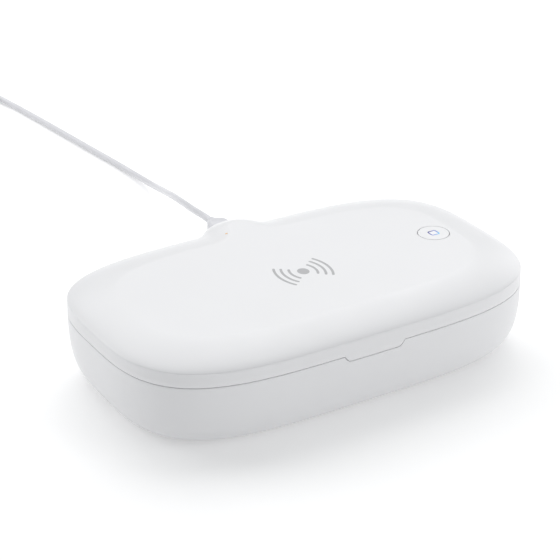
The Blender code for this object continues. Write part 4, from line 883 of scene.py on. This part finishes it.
def make_button(mats):
    x, y = BUTTON_X, MIDDLE_Y + BUTTON_Y
    edge = BUTTON_EDGE
    profile = [(BUTTON_RADIUS, BUTTON_SKIRT_Z), (BUTTON_RADIUS, HEIGHT - edge)]
    profile += [(BUTTON_RADIUS - edge * (1 - math.cos(a)), HEIGHT - edge * (1 - math.sin(a)))
                for a in (0.3, 0.6, 0.9, 1.2)]
    profile += [(BUTTON_RADIUS - edge, HEIGHT), (BUTTON_RADIUS - edge * 3, HEIGHT)]
    cap = lathe("button_cap", profile, (x, y), sides=BUTTON_SIDES)
    cut(cap, rounded_post("icon_pocket", ICON_OUTER, ICON_CORNER,
                          ((HEIGHT - ICON_HEIGHT, 0.0), (HEIGHT + OVERRUN, 0.0))))
    dress(cap, mats["button"], "white_button", "button", "power_button")

    foot = HEIGHT - ICON_HEIGHT + EPS
    levels = ((foot, 0.0), (HEIGHT - ICON_BEVEL_DEPTH, 0.0), (HEIGHT - EPS, ICON_BEVEL))
    inner_corner = ICON_CORNER - (ICON_OUTER - ICON_INNER) / 2
    ring = rounded_post("icon_ring", ICON_OUTER - EPS, ICON_CORNER, levels)
    cut(ring, rounded_post("icon_hole", ICON_INNER, inner_corner,
                           ((foot - OVERRUN, 0.0), (HEIGHT + OVERRUN, 0.0))))
    dress(ring, mats["icon"], "lit_icon", "button", "button_icon")
    face = rounded_post("icon_face", ICON_INNER - EPS, inner_corner, levels)
    dress(face, mats["halo"], "white_button", "button")


def make_mark(mats):
    """The printed mark for wireless charging: a dot between two sets of arcs."""
    middle = Vector((MARK_X, MIDDLE_Y + MARK_Y))
    low, high = HEIGHT - 2 * MARK_THICKNESS, HEIGHT - MARK_THICKNESS * 0.4
    outline = [middle + Vector((MARK_DOT[0] * math.cos(a), MARK_DOT[1] * math.sin(a)))
               for a in (2 * math.pi * i / MARK_DOT_SIDES for i in range(MARK_DOT_SIDES))]
    dot = loft("charge_mark_dot", [[(p.x, p.y, z) for p in outline] for z in (low, high)])
    dress(dot, mats["mark"], "dark", "lid")
    for number, (reach, radius) in enumerate(zip(MARK_REACHES, MARK_RADII), 1):
        for side, word in ((1, "right"), (-1, "left")):
            centre = middle + Vector((side * (reach - radius), 0.0))
            points = arc_outline(centre, radius, 0.0 if side == 1 else math.pi)
            arc = loft("charge_mark_arc_%d_%s" % (number, word),
                       [[(p.x, p.y, z) for p in points] for z in (low, high)])
            dress(arc, mats["mark"], "dark", "lid")


def arc_outline(centre, radius, turn):
    """The outline of one printed arc, with round ends, about the direction turn."""
    half = MARK_STROKE / 2

    def spot(middle, distance, angle):
        return middle + distance * Vector((math.cos(angle), math.sin(angle)))

    ends = (MARK_FRONT_ANGLE, MARK_BACK_ANGLE)
    before, after = ends if turn == 0.0 else ends[::-1]
    first, last = turn - before, turn + after
    sweep = [first + (last - first) * i / MARK_ARC_STEPS for i in range(MARK_ARC_STEPS + 1)]
    half_turn = [math.pi * i / MARK_END_STEPS for i in range(1, MARK_END_STEPS)]
    points = [spot(centre, radius + half, angle) for angle in sweep]
    end = spot(centre, radius, last)
    points += [spot(end, half, last + angle) for angle in half_turn]
    points += [spot(centre, radius - half, angle) for angle in reversed(sweep)]
    start = spot(centre, radius, first)
    points += [spot(start, half, first + math.pi + angle) for angle in half_turn]
    return points


def make_light(mats):
    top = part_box("status_light_pipe")[1][2]
    profile = [(LIGHT_RADIUS, top - LIGHT_DEPTH), (LIGHT_RADIUS, top - LIGHT_DOME)]
    profile += [(LIGHT_RADIUS * math.cos(a), top - LIGHT_DOME + LIGHT_DOME * math.sin(a))
                for a in (0.4, 0.8, 1.2, 1.5)]
    lens = lathe("status_light_lens", profile, (LIGHT_X, MIDDLE_Y + LIGHT_Y), sides=LIGHT_SIDES)
    dress(lens, mats["amber"], "amber", "lid")
    paint(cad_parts["status_light_pipe"], mats["amber"])


# Chamber


def make_chamber(mats):
    top = BASE_RIM_Z
    under = top - TRAY_WALL
    bend = CHAMBER_ROUND
    rings = [chamber_ring(-bend, TRAY_FLOOR_Z, CHAMBER_DRAFT),
             chamber_ring(-bend * 0.3, TRAY_FLOOR_Z + bend * 0.3, CHAMBER_DRAFT),
             chamber_ring(0.0, TRAY_FLOOR_Z + bend, CHAMBER_DRAFT * 0.95)]
    rings += [chamber_ring(0.0, TRAY_FLOOR_Z + (top - TRAY_FLOOR_Z) * s, CHAMBER_DRAFT * (1 - s))
              for s in (0.3, 0.6, 0.85)]
    rings += [chamber_ring(0.0, top - bend * 0.5),
              chamber_ring(bend * 0.15, top - bend * 0.15), chamber_ring(bend * 0.5, top),
              flange_ring(FLANGE_INSET, top), flange_ring(FLANGE_INSET, under),
              chamber_ring(TRAY_WALL, under),
              chamber_ring(TRAY_WALL, TRAY_FLOOR_Z - TRAY_WALL, CHAMBER_DRAFT)]
    tray = loft("chamber_liner", rings)
    half_x, half_y = WINDOW_LENGTH / 2 - WINDOW_LEDGE, WINDOW_WIDTH / 2 - WINDOW_LEDGE
    cut(tray, box("window_opening", (-half_x, MIDDLE_Y - half_y, TRAY_FLOOR_Z - OVERRUN),
                  (half_x, MIDDLE_Y + half_y, TRAY_FLOOR_Z + OVERRUN)))
    dress(tray, mats["liner"], "liner", "base", "chamber_tray")

    low = LID_FLANGE_Z
    upper = low + LINER_WALL
    rings = [chamber_ring(-bend, LINER_CEILING_Z, CHAMBER_DRAFT),
             chamber_ring(-bend * 0.3, LINER_CEILING_Z - bend * 0.3, CHAMBER_DRAFT),
             chamber_ring(0.0, LINER_CEILING_Z - bend, CHAMBER_DRAFT * 0.8),
             chamber_ring(0.0, low + bend * 0.5, CHAMBER_DRAFT * 0.1),
             chamber_ring(bend * 0.5, low), flange_ring(FLANGE_INSET, low),
             flange_ring(FLANGE_INSET, upper), chamber_ring(LINER_WALL, upper),
             chamber_ring(LINER_WALL, LINER_CEILING_Z + LINER_WALL, CHAMBER_DRAFT)]
    liner = loft("lid_inner_cover", rings)
    for x, y in corner_places(FOOT_X, LID_SCREW_Y):
        cut(liner, cylinder("liner_hole", SCREW_RADIUS + GAP, (x, y, LINER_CEILING_Z - OVERRUN),
                            (x, y, LINER_CEILING_Z + OVERRUN), sides=32))
    dress(liner, mats["liner"], "liner", "lid", "lid_liner")


# Lead

# How far aside of the port and behind the box, in millimetres, and the height as a share of the
# way from the surface up to the port. The route is the CAD's, but for the second and the third
# place, which hang a little lower, as in the photo.
CABLE_ROUTE = (
    (0.1, 28.1, 1.0), (1.3, 43.9, 0.938), (4.5, 61.9, 0.834), (10.3, 85.9, 0.645),
    (18.0, 112.9, 0.378), (24.4, 139.9, 0.142), (26.6, 163.9, 0.03), (25.6, 187.9, 0.0),
    (22.4, 217.9, 0.0), (18.8, 251.9, 0.0), (14.9, 287.9, 0.0), (11.0, 319.9, 0.0),
)


def smooth_route(route):
    """Evenly spaced points of a smooth curve through the route's places."""
    points = [Vector(p) for p in route]
    points = [points[0] * 2 - points[1]] + points + [points[-1] * 2 - points[-2]]
    fine = []
    for a, b, c, d in zip(points, points[1:], points[2:], points[3:]):
        for i in range(ROUTE_STEPS):
            t = i / ROUTE_STEPS
            fine.append(0.5 * (2 * b + (c - a) * t + (2 * a - 5 * b + 4 * c - d) * t * t
                               + (3 * b - a - 3 * c + d) * t ** 3))
    fine.append(points[-2])
    lengths = [0.0]
    for p, q in zip(fine, fine[1:]):
        lengths.append(lengths[-1] + (q - p).length)
    count = max(2, round(lengths[-1] / ROUTE_SPACING))
    result, at = [], 0
    for i in range(count + 1):
        want = lengths[-1] * i / count
        while at < len(lengths) - 2 and lengths[at + 1] < want:
            at += 1
        span = lengths[at + 1] - lengths[at]
        result.append(fine[at].lerp(fine[at + 1], (want - lengths[at]) / span if span else 0.0))
    return result


def coil_points():
    """The coil's middle line: a flat layer inwards, a climb, and a layer outwards on top."""
    outer = COIL_MIDDLE_RADIUS + COIL_STEP * COIL_LAYER_TURNS / 2
    inner = outer - COIL_STEP * COIL_LAYER_TURNS
    low = CABLE_RADIUS + COIL_LIFT
    total = 2 * COIL_LAYER_TURNS + COIL_CLIMB_TURNS
    points = []
    count = round(total * CORD_TURN_POINTS)
    for i in range(count + 1):
        turn = total * i / count
        after = turn - COIL_LAYER_TURNS - COIL_CLIMB_TURNS
        if turn <= COIL_LAYER_TURNS:
            radius, z = outer - COIL_STEP * turn, low
        elif after <= 0:
            share = (turn - COIL_LAYER_TURNS) / COIL_CLIMB_TURNS
            radius, z = inner, low + COIL_STEP * ease(share)
        else:
            radius, z = inner + COIL_STEP * after, low + COIL_STEP
        angle = 2 * math.pi * turn
        points.append(Vector((COIL_X + radius * math.cos(angle),
                              COIL_Y + radius * math.sin(angle), z)))
    return points


def make_lead(mats):
    diameter = 2 * CABLE_RADIUS
    face = BACK_Y + GAP
    exit_z, rest_z = PORT_Z + MOULD_RISE, CABLE_RADIUS + CABLE_LIFT
    start = Vector((PORT_X, face + MOULD_BODY + MOULD_TAPER - LEAD_IN_MOULD, exit_z))
    coil = coil_points()
    lead = coil[0] - Vector((0.0, diameter, 0.0))
    route = [start, start + Vector((0.0, diameter, 0.0))]
    route += [Vector((PORT_X + aside * MM, BACK_Y + behind * MM,
                      rest_z + (exit_z - rest_z) * share)) for aside, behind, share in CABLE_ROUTE]
    route += [lead - Vector((0.0, diameter * 2, 0.0)), lead]
    end = coil[-1]
    plug_z = USB_A_MOULD[2] / 2 + USB_A_LIFT
    tail = [end, end + Vector((0.0, diameter, 0.0))]
    for share in (0.3, 0.5, 0.7, 0.88, 1.0):
        fall = min(1.0, ease(share) * 1.1)
        tail.append(Vector((end.x, end.y + TAIL_LENGTH * share, end.z + (plug_z - end.z) * fall)))
    points = smooth_route(route) + coil + smooth_route(tail)[1:]

    curve = bpy.data.curves.new("usb_lead", "CURVE")
    curve.dimensions = "3D"
    curve.bevel_depth = CABLE_RADIUS
    curve.bevel_resolution = 6
    curve.use_fill_caps = True
    spline = curve.splines.new("POLY")
    spline.points.add(len(points) - 1)
    for place, point in zip(spline.points, points):
        place.co = (*point, 1.0)
    cable = bpy.data.objects.new("usb_lead", curve)
    bpy.context.scene.collection.objects.link(cable)
    dress(cable, mats["cable"], "cable", "base", "cable_run", "cable_coil")

    plug = make_plug(mats)
    far = make_far_plug(mats, Vector((end.x, end.y + TAIL_LENGTH + GAP, plug_z)))


def make_plug(mats):
    """The moulded body of the plug at the box, flowing down to the lead."""
    face = BACK_Y + GAP
    place = (PORT_X, PORT_Z + MOULD_RISE)
    rings = []
    for y, inset in ((0.0, 0.5), (0.15, 0.22), (0.5, 0.0)):
        rings.append(rounded_section(MOULD_WIDTH - 2 * inset * MM, MOULD_HEIGHT - 2 * inset * MM,
                                     MOULD_CORNER, face + y * MM, place))
    rings.append(rounded_section(MOULD_WIDTH, MOULD_HEIGHT, MOULD_CORNER,
                                 face + MOULD_BODY * 0.5, place))
    for i in range(MOULD_STEPS + 1):
        share = i / MOULD_STEPS
        narrow = ease(share)
        rings.append(rounded_section(MOULD_WIDTH + (MOULD_TAIL - MOULD_WIDTH) * narrow,
                                     MOULD_HEIGHT + (MOULD_TAIL - MOULD_HEIGHT) * narrow,
                                     MOULD_CORNER + (MOULD_TAIL / 2 - MOULD_CORNER) * narrow,
                                     face + MOULD_BODY + MOULD_TAPER * share, place))
    rings.append(rounded_section(MOULD_TAIL - 0.5 * MM, MOULD_TAIL - 0.5 * MM, MOULD_TAIL / 2,
                                 face + MOULD_BODY + MOULD_TAPER + 0.2 * MM, place))
    plug = loft("plug_body", rings)
    return dress(plug, mats["mould"], "lead_mould", "base", "plug_overmould")


def make_far_plug(mats, start):
    """The moulded body of the USB-A plug, widening from the lead to the grip."""
    width, length, height = USB_A_MOULD
    relief = 2 * CABLE_RADIUS + GAP * 4
    neck = relief + 0.5 * MM
    body = start.y + USB_A_RELIEF
    # Place along y, width, height, and the corner's radius as a share of the height
    sections = [(start.y, relief - 0.5 * MM, relief - 0.5 * MM, 0.5),
                (start.y + 0.4 * MM, relief, relief, 0.5),
                (start.y + USB_A_RELIEF * 0.55, relief + 0.4 * MM, relief + 0.4 * MM, 0.48)]
    for i in range(USB_A_STEPS + 1):
        share = i / USB_A_STEPS
        widen = ease(share)
        sections.append((start.y + USB_A_RELIEF * (0.62 + 0.68 * share),
                         neck + (width - neck) * widen, neck + (height - neck) * widen,
                         0.48 - 0.2 * widen))
    sections += [(body + length - 0.6 * MM, width, height, 0.28),
                 (body + length - 0.2 * MM, width - 0.3 * MM, height - 0.3 * MM, 0.27),
                 (body + length, width - 1.0 * MM, height - 1.0 * MM, 0.25)]
    mould = loft("far_plug_body", [rounded_section(w, h, h * corner, y, (start.x, start.z))
                                   for y, w, h, corner in sections])
    dress(mould, mats["mould"], "lead_mould", "base", "far_plug_mould")
    return [mould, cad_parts["far_plug_shell"]]


# Nodes of the CAD that stay, and the feet


def paint_nodes(mats):
    """Gives the inner nodes that stay as they are in the CAD their materials."""
    groups = {
        "reflector": ("base_reflector", "lid_reflector"),
        "tube": ("base_uv_lamp", "lid_uv_lamp"),
        "liner": ("base_lamp_holder_left", "base_lamp_holder_right", "lid_lamp_holder_left",
                  "lid_lamp_holder_right", "coil_carrier"),
        "quartz": ("base_window",),
        "board": ("main_board", "port_board", "button_board"),
        "dark": ("lamp_driver", "lid_sensor", "ferrite_disc", "button_switch"),
        "steel": ("base_magnet", "lid_magnet", "usb_socket", "usb_c_plug", "hinge_pin",
                  "far_plug_shell"),
        "rubber": ("lid_seal", "cable_tie"),
        "copper": ("charging_coil",),
    }
    for key, names in groups.items():
        for name in names:
            paint(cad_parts[name], mats[key])
    for name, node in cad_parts.items():
        if "screw" in name:
            paint(node, mats["steel"])


def make_feet(mats):
    for name in ("front_left", "front_right", "back_left", "back_right"):
        low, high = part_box("foot_" + name)
        x, y = (low[0] + high[0]) / 2, (low[1] + high[1]) / 2
        profile = [(FOOT_RADIUS * 0.72, low[2] + FOOT_HOLLOW), (FOOT_RADIUS * 0.80, low[2]),
                   (FOOT_RADIUS - FOOT_ROUND, low[2]),
                   (FOOT_RADIUS - FOOT_ROUND_MIDDLE, low[2] + FOOT_ROUND_MIDDLE),
                   (FOOT_RADIUS, low[2] + FOOT_ROUND), (FOOT_RADIUS, high[2])]
        foot = lathe("soft_foot_" + name, profile, (x, y))
        dress(foot, mats["rubber"], "rubber", "base", "foot_" + name)


# Studio


def make_studio():
    bm = bmesh.new()
    bmesh.ops.create_grid(bm, x_segments=1, y_segments=1, size=FLOOR_REACH)
    floor = new_object("studio_floor", bm)
    paper = surface("studio_paper", (0.88, 0.88, 0.88), 0.9, tone=(3.0, 0.004),
                    Emission_Strength=0.21, Emission_Color=(1.0, 1.0, 1.0, 1.0))
    floor.data.materials.append(paper)

    world = bpy.data.worlds.new("studio")
    bpy.context.scene.world = world
    world.use_nodes = True
    background = world.node_tree.nodes["Background"]
    background.inputs["Color"].default_value = WORLD_COLOUR
    background.inputs["Strength"].default_value = WORLD_STRENGTH

    for name, place, size, power in SOFTBOXES:
        data = bpy.data.lights.new(name, "AREA")
        data.shape = "SQUARE"
        data.size = size
        data.energy = power
        light = bpy.data.objects.new(name, data)
        light.location = place
        direction = Vector(LIGHTS_AIM) - Vector(place)
        light.rotation_euler = direction.to_track_quat("-Z", "Y").to_euler()
        bpy.context.scene.collection.objects.link(light)


bpy.context.scene.view_settings.view_transform = "Standard"
make_camera()
materials = make_materials()
for make in (make_lead, make_base, make_lid, make_button, make_mark, make_light, make_chamber,
             make_feet, paint_nodes):
    make(materials)
make_studio()
